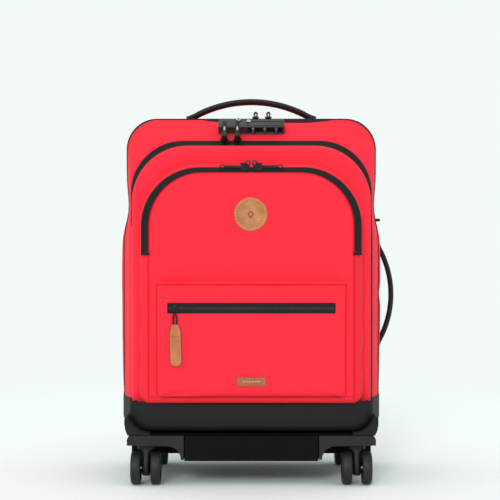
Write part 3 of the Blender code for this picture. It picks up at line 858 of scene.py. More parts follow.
def face_band(name, inner, outer, body, low, y):
    """A strip of tape on the organiser's face between two outlines (half, low, high, radius)."""
    rows, first = [], None
    thick = 0.0012
    for (half, base, high, radius), depth in ((inner, 0), (outer, 0), (outer, thick), (inner, thick)):
        pts = outline(half, base, high, radius, 0.001)
        first = first or pts
        rows.append([Vector((x, y + depth, max(z, low))) for x, z in kept(pts, low, first)])
    strip(name, rows, body)


def organiser_zip():
    """The flap's zip, the seams below it and the fabric stops at the ends of its tape."""
    low = 0.3250
    flap_inner = (PANEL_HALF, PANEL_LOW, PANEL_HIGH, PANEL_RADIUS)
    middle = (0.1493, 0.1190, 0.4398, 0.0773)
    rim = (0.1542, 0.1150, 0.4447, 0.0822)
    y = ORG_Y - 0.0018
    flap_outer = tuple(m - 0.0002 for m in middle)
    face_band("organiser_zip_tape_flap", flap_inner, flap_outer, "organiser_flap", low, y)
    verts, faces = rolled_band(middle, rim, low)
    make("organiser_zip_tape_edge", verts, faces, tape, "front_lid", "zip_tape", (), 50)
    path = [Vector((x, y - 0.0001, z)) for x, z in kept(outline(0.1491, 0.119, 0.4396, 0.0771, 0.001), low)]
    stitch_row("organiser_zip_coil", path, outward, "front_lid", coil, "zip_tape", (0.0014, 0.0010, 0.0006),
               0.0026)
    pts = kept(outline(0.1428, 0.122, 0.4365, 0.0738, 0.001), low)
    path = [Vector((x, ORG_Y - 0.0012, z)) for x, z in pts]
    stitch_row("organiser_flap_stitches", path, outward, "organiser_flap", red_thread, "red_fabric")
    for side, name in ((-1, "left"), (1, "right")):
        path = [Vector((side * 0.1447, ORG_Y - 0.0008, z)) for z in spread(0.120, 0.3208, 60)]
        piping("panel_seam_" + name, path, 0.0007, "front_lid")
        a, b = sorted((side * 0.1425, side * 0.1540))
        block("organiser_zip_stop_" + name, (a, -0.1124, 0.3222), (b, -0.1090, 0.3262), tape, "front_lid",
              "zip_tape", 0.0006, segments=3)


def rolled_band(inner, outer, low):
    """The outer half of the organiser's zip tape, which rolls back over the rounded edge."""
    rows, first = [], None
    steps = 5
    for lift in (0.0009, -0.0002):
        span = range(steps + 1) if lift > 0 else range(steps, -1, -1)
        for k in span:
            t = k / steps
            half, base, high, radius = (mix(a, b, t) for a, b in zip(inner, outer))
            back = rounding((t - 0.1) * 0.0062, 0.009)
            pts = outline(half, base, high, radius, 0.001)
            first = first or pts
            y = ORG_Y - lift - 0.0003 + back * 1.4
            rows.append([Vector((x, y, max(z, low))) for x, z in kept(pts, low, first)])
    return capped_loft(list(zip(*rows)))


rear_fabric()
back_lining()
back_seams()
middle_fabric()
front_fabric()
organiser_gusset()
front_panel()
boots()
section_zips()
organiser_zip()

# ------------------------------------------------------------------ stuffed fabric
def inflate(piece, voxel, cap, sewn, after):
    """Remesh a closed shape, blow it up like filled fabric, then dress its points.

    sewn(point) is True where the piece is stitched down. cap(point) limits how far a point moves.
    after(point, rest) finishes each point.
    """
    add_modifier(piece, "REMESH", mode="VOXEL", voxel_size=voxel)
    old, mesh = piece.data, evaluated(piece)
    piece.modifiers.clear()
    materials = list(old.materials)
    piece.data = mesh
    mesh.materials.clear()
    for m in materials:
        mesh.materials.append(m)
    rest = [v.co.copy() for v in mesh.vertices]
    moved = rest
    group = piece.vertex_groups.new(name="sewn")
    group.add([i for i, p in enumerate(rest) if sewn(p - SHIFT)], 1.0, "REPLACE")
    cloth = add_modifier(piece, "CLOTH")
    cloth.settings.quality = 5
    cloth.settings.mass = 0.2
    cloth.settings.use_pressure = True
    cloth.settings.uniform_pressure_force = 4.0
    cloth.settings.vertex_group_mass = "sewn"
    cloth.settings.effector_weights.gravity = 0
    cloth.collision_settings.use_collision = False
    cloth.point_cache.frame_start, cloth.point_cache.frame_end = 1, 20
    for step in range(1, 21):
        bpy.context.scene.frame_set(step)
    moved = [v.co.copy() for v in evaluated(piece).vertices]
    piece.modifiers.clear()
    bpy.context.scene.frame_set(1)
    for v, a, b in zip(mesh.vertices, rest, moved):
        step = b - a
        limit = cap(a - SHIFT)
        if step.length > limit:
            step *= limit / step.length
        v.co = after(a + step - SHIFT, a - SHIFT) + SHIFT
    mesh.shade_smooth()
    subdivide(piece)


def pressed(p, low, high, depth, fade=0.007):
    """Push a front surface back to a depth inside an (x, z) window, easing off around it."""
    beyond = max(low[0] - p.x, p.x - high[0], low[1] - p.z, p.z - high[1], 0)
    if p.y < depth:
        p.y = mix(p.y, depth, 1 - smoothstep(beyond, 0, fade))
    return p


POCKET_HALF, POCKET_LOW, POCKET_HIGH = 0.1318, 0.1235, 0.2843
ZIP_LOW, ZIP_HIGH, ZIP_HALF = 0.2413, 0.2559, 0.1168
LABEL_LOW, LABEL_HIGH, LABEL_HALF = 0.1404, 0.1527, 0.0202


def front_pocket():
    """The flat pocket, lightly padded, with a turned hem along its top."""
    rings = []
    for y, inset in ((-0.1099, 0), (-0.1150, 0), (-0.1178, 0.0007), (-0.1192, 0.0022), (-0.1198, 0.0045)):
        edges = POCKET_HALF - inset, POCKET_LOW + inset, POCKET_HIGH - inset
        pts = outline(*edges, 0.006, 0.006, (8, 4, 16, 4, 12))
        rings.append([Vector((x, y, z)) for x, z in pts])
    pad = capped_loft(rings)
    piece = make("front_pocket_pad", *pad, red, "front_lid", "red_fabric", ("front_pocket",), 0)

    def after(p, rest):
        front = smoothstep(-rest.y, 0.1130, 0.1175)
        crease = noise.noise(Vector((p.x * 22, 3.1, p.z * 9))) * 0.0007
        foot = sin(p.x * 130 + 2 * sin(p.x * 41)) * 0.0005 * (1 - smoothstep(p.z, 0.126, 0.150))
        p.y -= (crease + foot) * front
        p.y = max(p.y, -0.1221)
        pressed(p, (-ZIP_HALF, ZIP_LOW + 0.001), (ZIP_HALF, ZIP_HIGH - 0.001), -0.1206)
        return pressed(p, (-LABEL_HALF, LABEL_LOW), (LABEL_HALF, LABEL_HIGH), -0.1207, 0.004)

    inflate(piece, 0.0042, lambda p: 0.0021, lambda p: p.y > -0.1135, after)
    hem = [Vector((x, -0.1192, 0.2836)) for x in spread(-POCKET_HALF + 0.002, POCKET_HALF - 0.002, 90)]
    tube = sweep(path_frames(hem, outward), ellipse(0.0022, 0.0021, 12))
    make("pocket_hem", *tube, red, "front_lid", "red_fabric")
    for side, name in ((-1, "left"), (1, "right")):
        x = side * (POCKET_HALF + 0.0006)
        path = [Vector((x, -0.1108, z)) for z in spread(POCKET_LOW + 0.004, 0.2835, 70)]
        piping("pocket_side_seam_" + name, path, 0.0006, "front_lid")
    path = [Vector((x, -0.1108, POCKET_LOW - 0.0004)) for x in spread(-0.124, 0.124, 90)]
    piping("pocket_low_seam", path, 0.0006, "front_lid")


def side_pocket(side, name):
    """A slim stretch pocket on the case's side, gathered by elastic at its mouth."""
    low, high, near, far = 0.1190, 0.3880, -0.0118, 0.0310
    r = 0.008
    rings = []
    for x, inset in ((0.1818, 0.001), (0.1840, 0), (0.1858, 0.0006), (0.1870, 0.003)):
        front, back, top, foot = near + inset + r, far - inset - r, high - inset - r, low + inset + r
        corners = ((back, top), (front, top), (front, foot), (back, foot))
        ring = [p for k, (y, z) in enumerate(corners) for p in arc(y, z, r, 90 * k, 90 * k + 90, 5)]
        rings.append([Vector((side * x, y, z)) for y, z in ring])
    # The side pocket takes the darker red: painted shade on a side face.
    piece = make("side_pocket_" + name, *capped_loft(rings), red_shaded, "case", "red_fabric", (), 0)

    def cap(p):
        collar = smoothstep(p.z, 0.342, 0.352) * 0.0022
        strap_pinch = 0.0030 * max(0.0, 1 - abs(p.z - 0.264) / 0.018) if side > 0 else 0.0
        return max(0.0004, 0.0034 - collar - strap_pinch)

    def after(p, _):
        gather = sin(p.y * 900) * 0.00025 * smoothstep(p.z, 0.352, 0.358)
        channel = sum(0.0008 * max(0.0, 1 - abs(p.z - z) / 0.0022) for z in (0.3565, 0.3700, 0.3835))
        x = abs(p.x) + cloth_ripple(p, 0.0008) + gather - channel
        return slim(Vector((side * max(x, 0.1846), p.y, p.z)))

    inflate(piece, 0.0036, cap, lambda p: abs(p.x) < 0.1848, after)


# ------------------------------------------------------------------ zip sliders and the pocket's pull
def facing(origin, along, up=(0, -1, 0)):
    """A matrix whose Y runs along and whose Z points up from the surface."""
    y, z = Vector(along).normalized(), Vector(up).normalized()
    x = y.cross(z).normalized()
    rotation = Matrix((x, y, z)).transposed().to_4x4()
    return Matrix.Translation(Vector(origin)) @ rotation


def prism(points, low, high, matrix):
    """A flat outline of (x, y) points raised from low to high along the matrix's Z."""
    return capped_loft([[matrix @ Vector((x, y, h)) for x, y in points] for h in (low, high)])


def flat_frame(outer, inner, low, high, matrix):
    """A four-sided frame between two outlines of (x, y) points, raised along the matrix's Z."""
    verts = [matrix @ Vector((x, y, h)) for h in (low, high) for x, y in outer + inner]
    faces = []
    for k in range(4):
        j = (k + 1) % 4
        faces += [(k, j, j + 4, k + 4), (k + 8, k + 12, j + 12, j + 8)]
        faces += [(k, k + 8, j + 8, j), (k + 4, j + 4, j + 12, k + 12)]
    return verts, faces


def ring_of_wire(centre, matrix, radius, wire, stretch):
    """A closed wire loop in the matrix's XY plane, drawn out along Y."""
    path = [Vector((x, y, 0)) + Vector(centre) for x, y in ellipse(radius, radius * stretch, 20)]
    b = Vector((0, 0, 1))
    frames = []
    for k, p in enumerate(path):
        tangent = (path[(k + 1) % len(path)] - path[k - 1]).normalized()
        frames.append((p, tangent.cross(b), b))
    verts, faces = sweep(frames, cord_profile(wire), closed_path=True)
    return [matrix @ v for v in verts], faces


def slider_shapes(matrix, size=1.0):
    """A zip slider: its upper plate, a waist under it and a bridge for the pull."""
    s = size
    plate = [(-0.0046, -0.0052), (0.0046, -0.0052), (0.0046, 0.0008), (0.0024, 0.0052), (-0.0024, 0.0052),
             (-0.0046, 0.0008)]
    plate = [(x * s, y * s) for x, y in plate]
    waist = [(x * 0.55, y * 0.8) for x, y in plate]
    frames = []
    for k in range(9):
        a = pi * k / 8
        o = Vector((0, -0.0040 * cos(a) * s, 0.0018 + 0.0020 * sin(a) * s))
        frames.append((o, Vector((1, 0, 0)), Vector((0, -cos(a), sin(a)))))
    bar = [(-0.0011 * s, -0.0004), (0.0011 * s, -0.0004), (0.0011 * s, 0.0004), (-0.0011 * s, 0.0004)]
    verts, faces = sweep(frames, bar)
    return [prism(plate, 0.0010, 0.0019, matrix), prism(waist, -0.0004, 0.0012, matrix),
            ([matrix @ v for v in verts], faces)]


def slider(name, matrix, body, node=(), size=1.0, extra_shapes=(), slot="black_metal"):
    verts, faces = join(*slider_shapes(matrix, size), *extra_shapes)
    round_edges(make(name, verts, faces, black_metal, body, slot, node, 40), 0.0003, 2)


def leather_sheet(name, shape, material, body, ease, segments, node=()):
    """A flat leather piece with burnished edges."""
    piece = make(name, *shape, material, body, "leather", node, 40, (burnished,))
    for polygon in piece.data.polygons:
        polygon.material_index = 0 if abs(polygon.normal.y) > 0.7 else 1
    round_edges(piece, ease, segments)


def pocket_zip():
    middle = (ZIP_LOW + ZIP_HIGH) / 2
    for name, low, high, stitched, offset, node in (
        ("low", ZIP_LOW, middle - 0.00005, ZIP_LOW + 0.0011, -0.0010, ("pocket_zip",)),
        ("high", middle + 0.00005, ZIP_HIGH, ZIP_HIGH - 0.0011, 0.0010, ()),
    ):
        block("pocket_zip_tape_" + name, (-ZIP_HALF, -0.1217, low), (ZIP_HALF, -0.1202, high), tape,
              "front_lid", "zip_tape", 0.0006, node, 3)
        row = [Vector((x, -0.1215, middle)) for x in spread(-ZIP_HALF + 0.003, ZIP_HALF - 0.003, 120)]
        stitch_row("pocket_zip_coil_" + name, row, outward, "front_lid", coil_light, "zip_tape",
                   (0.0012, 0.0023, 0.0013), 0.0017, (offset, 0.0002))
        row = [Vector((x, -0.1218, stitched)) for x in spread(-ZIP_HALF + 0.002, ZIP_HALF - 0.002, 120)]
        stitch_row("pocket_zip_stitches_" + name, row, outward, "front_lid", black_thread, "zip_tape",
                   (0.0018, 0.0006, 0.0004), 0.0028)


def pocket_pull():
    """The pocket's slider, the link and the leather pull, which hangs a little askew."""
    x = -0.1062
    lay = facing((x, -0.1217, 0.2495), (0, 0, 1))
    slider("pocket_zip_slider", lay, "pocket_slider", ("pocket_slider",), 1.05, slot="steel")
    turn = Matrix.Translation((x, -0.1241, 0.2415)) @ Matrix.Rotation(radians(-1.4), 4, "Y")
    lay = turn @ facing((0, 0, 0), (0, 0, 1))
    loop = ring_of_wire((0, -0.0105, 0), lay, 0.0025, 0.0011, 4.4)
    link = make("pull_link", *loop, black_metal, "pocket_pull", "black_metal", ("pocket_pull",), 0)
    add_modifier(link, "WELD", merge_threshold=0.00001)
    half, low, high = 0.0079, -0.0735, -0.0150
    foot_r, head_r = 0.0068, 0.0030
    tab = arc(half - foot_r, low + foot_r, foot_r, -90, 0, 8)
    tab += [(half, -0.045), (half - 0.0003, high - 0.010)]
    tab += arc(0.0052 - head_r, high - head_r, head_r, 0, 90, 6)
    tab += [(-a, b) for a, b in reversed(tab)]
    leather_sheet("leather_pull", prism(tab, -0.0014, 0.0017, lay), tab_hide, "pocket_pull", 0.0007, 3)
    row = [lay @ Vector((a * 0.84, mix(-0.044, b, 0.955), 0.0018)) for a, b in tab]
    stitch_row("leather_pull_stitches", row, outward, "pocket_pull", tan_thread, "leather",
               (0.0017, 0.0006, 0.0005), 0.0027, closed=True)
    row = [lay @ Vector((a, -0.0318, 0.0018)) for a in spread(-0.0055, 0.0055, 12)]
    stitch_row("leather_pull_cross_stitches", row, outward, "pocket_pull", burnished, "leather",
               (0.0017, 0.0008, 0.0006), 0.0024)


def label():
    """A leather label with a stitched border and a row of plain bars in place of any lettering."""
    centre = (LABEL_LOW + LABEL_HIGH) / 2
    lay = facing((0, -0.1206, centre), (0, 0, 1))
    half, tall, r = LABEL_HALF, (LABEL_HIGH - LABEL_LOW) / 2, 0.0012
    corner = arc(half - r, tall - r, r, 0, 90, 4)
    quarter = corner + [(-a, b) for a, b in reversed(corner)]
    plate = quarter + [(-a, -b) for a, b in quarter]
    sheet = prism(plate, 0.0, 0.0016, lay)
    leather_sheet("pocket_label", sheet, label_hide, "front_lid", 0.0004, 2, ("pocket_label",))
    row = [lay @ Vector((a * 0.93, b * 0.80, 0.0017)) for a, b in plate]
    stitch_row("pocket_label_stitches", row, outward, "front_lid", tan_thread, "leather",
               (0.0013, 0.0004, 0.0003), 0.0020, closed=True)
    marks = [cuboid((x - 0.0016, -0.0010, 0.0012), (x + 0.0016, 0.0010, 0.0019), lay)
             for x in (-0.0105, -0.0063, -0.0021, 0.0021, 0.0063, 0.0105)]
    round_edges(make("pocket_label_marks", *join(*marks), tan_thread, "front_lid", "leather"), 0.0003, 2)


def round_patch():
    """A leather roundel: stitched rim, an embossed ring, a circle of ticks and a plain lozenge."""
    x, z, r = -0.0010, 0.3790, 0.0232
    lay = facing((x, panel_y(x, z, PANEL_HALF) + 0.0006, z), (0, 0, 1))
    profile = [(0, 0), (r - 0.0004, 0), (r, 0.0004), (r, 0.0017), (r - 0.0005, 0.0022), (r - 0.0020, 0.0022),
               (r - 0.0024, 0.0019), (0.0164, 0.0019), (0.0161, 0.0022), (0.0153, 0.0022), (0.0150, 0.0019),
               (0, 0.0019)]
    plate = disc(profile, 64, lay)
    make("round_patch_disc", *plate, patch_hide, "organiser_flap", "leather", ("round_patch",), 40)
    for name, distance, thread, size, spacing in (
        ("round_patch_stitches", 0.0216, tan_thread, (0.0016, 0.0005, 0.0004), 0.0024),
        ("round_patch_ticks", 0.0184, burnished, (0.0009, 0.0022, 0.0006), 0.0048),
    ):
        circle = [lay @ Vector((a, b, 0.0021)) for a, b in ellipse(distance, distance, 64)]
        stitch_row(name, circle, outward, "organiser_flap", thread, "leather", size, spacing, closed=True)
    diamond = [(0, -0.0058), (0.0044, 0), (0, 0.0058), (-0.0044, 0)]
    inner = [(a * 0.62, b * 0.62) for a, b in diamond]
    lozenge = flat_frame(diamond, inner, 0.0017, 0.0024, lay)
    make("round_patch_lozenge", *lozenge, burnished, "organiser_flap", "leather", (), 30)


def organiser_sliders():
    """Two sliders that meet at the top of the organiser's zip, each with a rod pull and a ring."""
    for side, name in ((-1, "left"), (1, "right")):
        body = "organiser_slider_" + name
        lay = facing((side * 0.0089, -0.1119, 0.4452), (-side, 0, 0))
        frames = []
        for t in spread(0, 1, 13):
            o = Vector((0, mix(-0.0035, -0.0290, t), 0.0026 - 0.0010 * smoothstep(t, 0, 0.3)))
            frames.append((o, Vector((1, 0, 0)), Vector((0, 0, 1))))
        verts, faces = sweep(frames, ellipse(0.0022, 0.0010, 12))
        rod = [lay @ v for v in verts], faces
        end_ring = ring_of_wire((0, -0.0316, 0.0016), lay, 0.0026, 0.0008, 1.2)
        above = facing((side * 0.0046, -0.1150, 0.4502), (0, 0, 1))
        top_ring = ring_of_wire((0, 0, 0), above, 0.0030, 0.0009, 1.1)
        pull = join(rod, end_ring, top_ring)
        piece = make("organiser_pull_" + name, *pull, black_metal, body, "black_metal", (body,), 40)
        add_modifier(piece, "WELD", merge_threshold=0.00001)
        slider("organiser_slider_body_" + name, lay, body, (), 1.2)


# ------------------------------------------------------------------ lock
LID_PULLERS_X = (-0.0383, -0.0200)
MAIN_PULLERS_X = (0.0063, 0.0246)

# Each stroke of a seven-stroke digit: its place across and up, and whether it is a level one.
STROKES = {"top": (0, 1, True), "middle": (0, 0, True), "bottom": (0, -1, True), "ul": (-1, 0.5, False),
           "ur": (1, 0.5, False), "ll": (-1, -0.5, False), "lr": (1, -0.5, False)}
DIGITS = ["top ul ur ll lr bottom", "ur lr", "top ur middle ll bottom", "top ur middle lr bottom",
          "ul ur middle lr", "top ul middle lr bottom", "top ul middle ll lr bottom", "top ur lr",
          "top ul ur middle ll lr bottom", "top ul ur middle lr bottom"]


def lock_dials():
    """Knurled number wheels; each carries ten plain digits."""
    radius, notch = 0.0054, 0.00022
    long_w, long_h, thin = 0.0010, 0.00068, 0.00022
    for index in range(3):
        body = "lock_dial_%d" % (index + 1)
        x = 0.0025 + 0.0165 * index
        spin = LOCK @ Matrix.Translation((x, -0.0052, 0)) @ Matrix.Rotation(pi / 2, 4, "Y")
        teeth = []
        for k in range(80):
            a, r = 2 * pi * k / 80, radius - (notch if k % 8 == 0 else 0)
            teeth.append((r * cos(a), r * sin(a)))
        drum = prism(teeth, -0.0030, 0.0030, spin)
        name = "lock_dial_drum_%d" % (index + 1)
        round_edges(make(name, *drum, window_black, body, "lock_plastic", (body,), 50), 0.0003, 2, 60)
        strokes = []
        for digit, parts in enumerate(DIGITS):
            turn = spin @ Matrix.Rotation(2 * pi * (digit + 0.5) / 10, 4, "Z")
            turn = turn @ Matrix.Translation((radius, 0, 0))
            for part in parts.split():
                across, up, level = STROKES[part]
                y, z = up * 0.0012, across * 0.0009
                h, w = (thin, long_w) if level else (long_h, thin)
                strokes.append(cuboid((-0.0003, y - h, z - w), (0.00018, y + h, z + w), turn))
        make("lock_digits_%d" % (index + 1), *join(*strokes), digit_white, body, "steel")


def rectangle(left, low, right, high):
    return [(left, low), (right, low), (right, high), (left, high)]


def lock_trim():
    """Two ridges along the lock, the frame round its dials and the slot for its key."""
    shapes = []
    for along, up, thick in ((-0.0087, -0.0066, 0.0006), (-0.0088, 0.0062, 0.0004)):
        path = [LOCK @ Vector((x, along, up)) for x in spread(-0.0455, 0.0455, 30)]
        frames = path_frames(path, lambda p, t: LOCK.to_3x3() @ Vector((0, -1, 0)))
        shapes.append(sweep(frames, cord_profile(thick)))
    make("lock_ridges", *join(*shapes), lock_grey, "main_lid", "lock_plastic", (), 0)
    outer = rectangle(-0.0068, -0.0070, 0.0452, 0.0024)
    bezel = flat_frame(outer, rectangle(-0.0055, -0.0066, 0.0440, 0.0012), 0.0072, 0.0081, LOCK)
    round_edges(make("lock_bezel", *bezel, window_black, "main_lid", "lock_plastic", (), 30), 0.0003, 2)
    lay = LOCK @ Matrix.Translation((-0.0183, 0.0048, 0.0098))
    slot = prism(rectangle(-0.0003, -0.0018, 0.0003, 0.0018), -0.0004, 0.00025, lay)
    round_edges(make("lock_keyhole", *slot, window_black, "lock_cylinder", "lock_plastic"), 0.0001, 1)


def puller_inlay(name, points, low, high, lay, body):
    round_edges(make(name, *prism(points, low, high, lay), steel, body, "steel", (), 40), 0.0002, 2)


def lock_pullers():
    """The metal on the four pullers, and the sliders that they hang from."""
    oval = ellipse(0.0014, 0.0048, 16)
    waist, foot = 0.0026, 0.0016
    tab = arc(0, 0.0180, waist, 0, 180, 8)
    tab += [(-waist, 0.0105), (-foot, 0.0096), (foot, 0.0096), (waist, 0.0105)]
    for index, (lid_x, main_x) in enumerate(zip(LID_PULLERS_X, MAIN_PULLERS_X)):
        number = index + 1
        along = (1 - 2 * index, 0, 0)
        lay = LOCK @ Matrix.Translation((lid_x, -0.0165, 0.0100))
        puller_inlay("lid_puller_inlay_%d" % number, oval, -0.0004, 0.0003, lay, "lid_zip_puller_%d" % number)
        lay = facing((lid_x, -0.0600, 0.4830), along, (0, -0.8, 0.6))
        ring = ring_of_wire((0, -0.0015, 0.0042), lay, 0.0022, 0.0006, 1.3)
        slider("lid_zip_slider_%d" % number, lay, "main_lid", (), 1.25, (ring,))
        node = "main_zip_puller_%d" % number
        lay = LOCK @ Matrix.Translation((main_x, 0, 0))
        upright = lay @ Matrix.Translation((0, 0.0205, 0.0066)) @ Matrix.Rotation(pi / 2, 4, "X")
        pull = join(prism(tab, 0.0080, 0.0096, lay), ring_of_wire((0, 0, 0), upright, 0.0026, 0.0007, 1.45))
        piece = make("main_puller_tab_%d" % number, *pull, black_metal, node, "black_metal", (node,), 40)
        round_edges(piece, 0.0003, 2, 50)
        short = [(a, b * 0.7 + 0.0148) for a, b in oval]
        puller_inlay("main_puller_inlay_%d" % number, short, 0.0093, 0.0099, lay, node)
        lay = facing((main_x, -0.0165, 0.5192), along, (0, -0.2, 1))
        slider("main_zip_slider_%d" % number, lay, "main_lid")


def zip_crescent():
    """The main zip's tape widens over the top, behind the lock."""
    left, right, steps, deep = -0.088, 0.134, 72, 5
    verts = []
    for i in range(steps + 1):
        x = mix(left, right, i / steps)
        wide = 0.0064 * smoothstep(sin(pi * i / steps), 0.0, 0.75)
        for j in range(deep + 1):
            y = mix(-0.0155, -0.0158 - wide, j / deep)
            high = middle_station(y)[3]
            verts.append(Vector((x, y, high + 0.0011 - 0.0005 * (j / deep) ** 2)))
    faces = loft_faces(deep + 1, steps + 1, closed=False)
    piece = make("main_zip_crescent", verts, faces, tape, "main_lid", "zip_tape")
    add_modifier(piece, "SOLIDIFY", thickness=0.0011, offset=-1)


# ------------------------------------------------------------------ handles
def relaxed(points):
    """A path with its bends eased and its ends held."""
    for _ in range(5):
        points = [points[0]] + [
            (a + b * 2 + c) / 4 for a, b, c in zip(points, points[1:], points[2:])
        ] + [points[-1]]
    return points


def bow_path(half, height, thick):
    """Middle line of a handle strap as (along, up): a low bow that runs out into flat feet."""
    radius = (half**2 + height**2) / (2 * height)
    drop = radius - height
    reach = degrees(acos(drop / radius)) - 0.6
    bow = arc(0, -drop, radius - thick / 2, 90 - reach, 90 + reach, 40)
    foot = [(half + 0.0012, -0.0028), (half + 0.0002, -0.0008)]
    return foot + bow + [(-a, b) for a, b in reversed(foot)]


def handle_strap(name, place_at, half, height, thick, depth, centre):
    """One carry handle: a padded strap with a stitched line near each edge. centre is inside its bow."""

    def away(p, tangent):
        return p - centre

    points = relaxed(resample([place_at(a, b) for a, b in bow_path(half, height, thick)], 0.0035))
    padded = sweep(path_frames(points, away), full_oval(depth, thick / 2, 0.6, 0.8, 20))
    make(name + "_strap", *padded, strap, name, "handle_strap", (name,), 60)
    for offset, which in ((-depth * 0.72, "a"), (depth * 0.72, "b")):
        stitch_row(name + "_stitches_" + which, points[6:-6], away, name, black_thread, "handle_strap",
                   (0.0024, 0.0007, 0.0006), 0.0036, (offset, thick * 0.45))


def handle_set():
    y, z = 0.045, 0.260
    handle_strap("top_handle", lambda a, b: Vector((a, 0.020, 0.5232 + b)), 0.094, 0.0268, 0.0078, 0.0086,
                 Vector((0, 0, 0.38)))
    handle_strap("side_handle", lambda a, b: Vector((0.1909 + b, y, z + a)), 0.078, 0.0225, 0.0072, 0.0078,
                 Vector((0.10, y, z)))
    for side, name in ((-1, "left"), (1, "right")):
        a, b = sorted((side * 0.0830, side * 0.0940))
        block("top_handle_tab_" + name, (a, 0.0112, 0.5178), (b, 0.0288, 0.5222), strap, "case",
              "handle_strap", 0.0017, ("top_handle_end_" + name,))
    for way, name in ((-1, "low"), (1, "high")):
        a, b = sorted((z + way * 0.0745, z + way * 0.0910))
        block("side_handle_tab_" + name, (0.1842, 0.0362, a), (0.1901, 0.0538, b), strap, "case",
              "handle_strap", 0.0017, ("side_handle_end_" + name,))
    block("side_loop", (0.1805, 0.0080, 0.3692), (0.1902, 0.0200, 0.3736), strap, "case", "handle_strap",
          0.0016)


# ------------------------------------------------------------------ wheels, forks and housings
CASTERS = ("front_left", "front_right", "rear_left", "rear_right")
TRAIL = 0.010


def mirrored(half):
    """A wheel's section from one side of it: (radius, distance from its middle plane)."""
    return [(r, -h) for r, h in half] + [(r, h) for r, h in reversed(half)]


TREAD = mirrored([(0.0176, 0.0046), (0.0184, 0.0061), (0.0198, 0.0069), (0.0213, 0.0067), (0.0224, 0.0055),
                  (0.0229, 0.0036), (0.0230, 0.0012)])
HUB = mirrored([(0.0029, 0.0046), (0.0062, 0.0050), (0.0070, 0.0040), (0.0086, 0.0024), (0.0162, 0.0024),
                (0.0172, 0.0045), (0.0179, 0.0046)])
CAP = [(0, -0.0012), (0.0046, -0.0012), (0.0050, -0.0006), (0.0048, 0.0004), (0.0036, 0.0009), (0, 0.0011)]


def axle_centre(name):
    low, high = local_box("caster_axle_" + name)
    return (low + high) / 2


def caster_fork(name):
    """Head and leg of one caster: round under the housing, narrowing to pass between the wheels."""
    axle = axle_centre(name)
    y = axle.y + TRAIL
    levels = (
        (0.0546, 0, 0.0118, 0.0118), (0.0540, 0, 0.0128, 0.0128), (0.0492, 0, 0.0128, 0.0128),
        (0.0480, 0, 0.0122, 0.0126), (0.0464, 0.0008, 0.0064, 0.0124), (0.0420, 0.0022, 0.0061, 0.0122),
        (0.0340, 0.0062, 0.0060, 0.0119), (0.0230, 0.0100, 0.0059, 0.0115), (0.0165, 0.0100, 0.0058, 0.0096),
        (0.0128, 0.0100, 0.0054, 0.0056), (0.0117, 0.0100, 0.0040, 0.0026),
    )
    rings = []
    for z, back, half_x, half_y in levels:
        centre = Vector((axle.x, y - back, z))
        rings.append([centre + Vector((a, b, 0)) for a, b in full_oval(half_x, half_y, 0.7, 0.7, 28)])
    subdivide(make("fork_" + name, *capped_loft(rings), plastic, "caster_" + name, "black_plastic",
                   ("caster_fork_" + name,), 45))
    for side, letter in ((-1, "a"), (1, "b")):
        end = Matrix.Translation(axle + Vector((side * 0.0196, 0, 0)))
        cap = disc(CAP, 24, end @ Matrix.Rotation(side * pi / 2, 4, "Y"))
        make("axle_cap_%s_%s" % (name, letter), *cap, hub_plastic, "caster_" + name, "black_plastic")
        caster_wheel("%s_%s" % (name, letter), axle + Vector((side * 0.0140, 0, 0)))


def caster_wheel(name, centre):
    """A moulded tread round a hub with a thin web and six ribs."""
    lay = Matrix.Translation(centre) @ Matrix.Rotation(pi / 2, 4, "Y")
    wheel = "wheel_" + name
    make("tread_" + name, *lathe(TREAD, 44, lay), tread, wheel, "wheel_tread", (wheel,), 60)
    spins = [lay @ Matrix.Rotation(2 * pi * k / 6, 4, "Z") for k in range(6)]
    ribs = [cuboid((0.0066, -0.0012, -0.0041), (0.0170, 0.0012, 0.0041), spin) for spin in spins]
    make("hub_" + name, *join(lathe(HUB, 44, lay), *ribs), hub_plastic, wheel, "black_plastic")


def bearing_collar(name):
    """The collar under a housing, on the caster's swivel axis."""
    axle = axle_centre(name)
    section = [(0.0052, 0.0548), (0.0150, 0.0548), (0.0160, 0.0556), (0.0160, 0.0575), (0.0052, 0.0575)]
    ring = lathe(section, 40, Matrix.Translation((axle.x, axle.y + TRAIL, 0)))
    make("bearing_collar_" + name, *ring, hub_plastic, "case", "black_plastic", (), 40)


def base_corner(side, name):
    """A moulded shoulder on the base that fills the corner beside the front boot."""
    outer = [(0.1420, 0.0698), (0.1732, 0.0698), (0.1762, 0.0765), (0.1778, 0.0860), (0.1776, 0.0940),
             (0.1752, 0.0962)]
    inner = arc(0.1422, 0.1040, 0.0320, -16, -88, 10)
    section = [(side * x, z) for x, z in outer + inner]
    rings = [[Vector((x, y, z)) for x, z in section] for y in (-0.1102, -0.0612)]
    piece = make("base_shoulder_" + name, *capped_loft(rings), boot, "case", "boot_fabric", (), 40)
    round_edges(piece, 0.0008, 3, 30)


def base_sill():
    """The strip of the base just under the front boot."""
    block("base_sill", (-0.1415, -0.1030, 0.0697), (0.1415, -0.0640, 0.0714), base_plastic, "case",
          "black_plastic", 0.0006, segments=2)


# ------------------------------------------------------------------ parts kept as the model has them
# The start of a node's name, its finish, and how far its edges are eased.
KEPT = (
    ("base_pan", base_plastic, 0.0016),
    ("wheel_housing", plastic, 0.0018),
    ("caster_axle", steel, 0.0002),
    ("trolley_cup", plastic, 0.0012),
    ("trolley_outer", alloy, 0.0004),
    ("trolley_inner", alloy, 0.0004),
    ("trolley_grip", plastic, 0.0020),
    ("trolley_button", hub_plastic, 0.0006),
    ("lock_body", lock_plastic, 0.0010),
    ("lock_button", steel, 0.0003),
    ("lock_cylinder", steel, 0.0003),
    ("lid_zip_puller", black_metal, 0.0006),
)


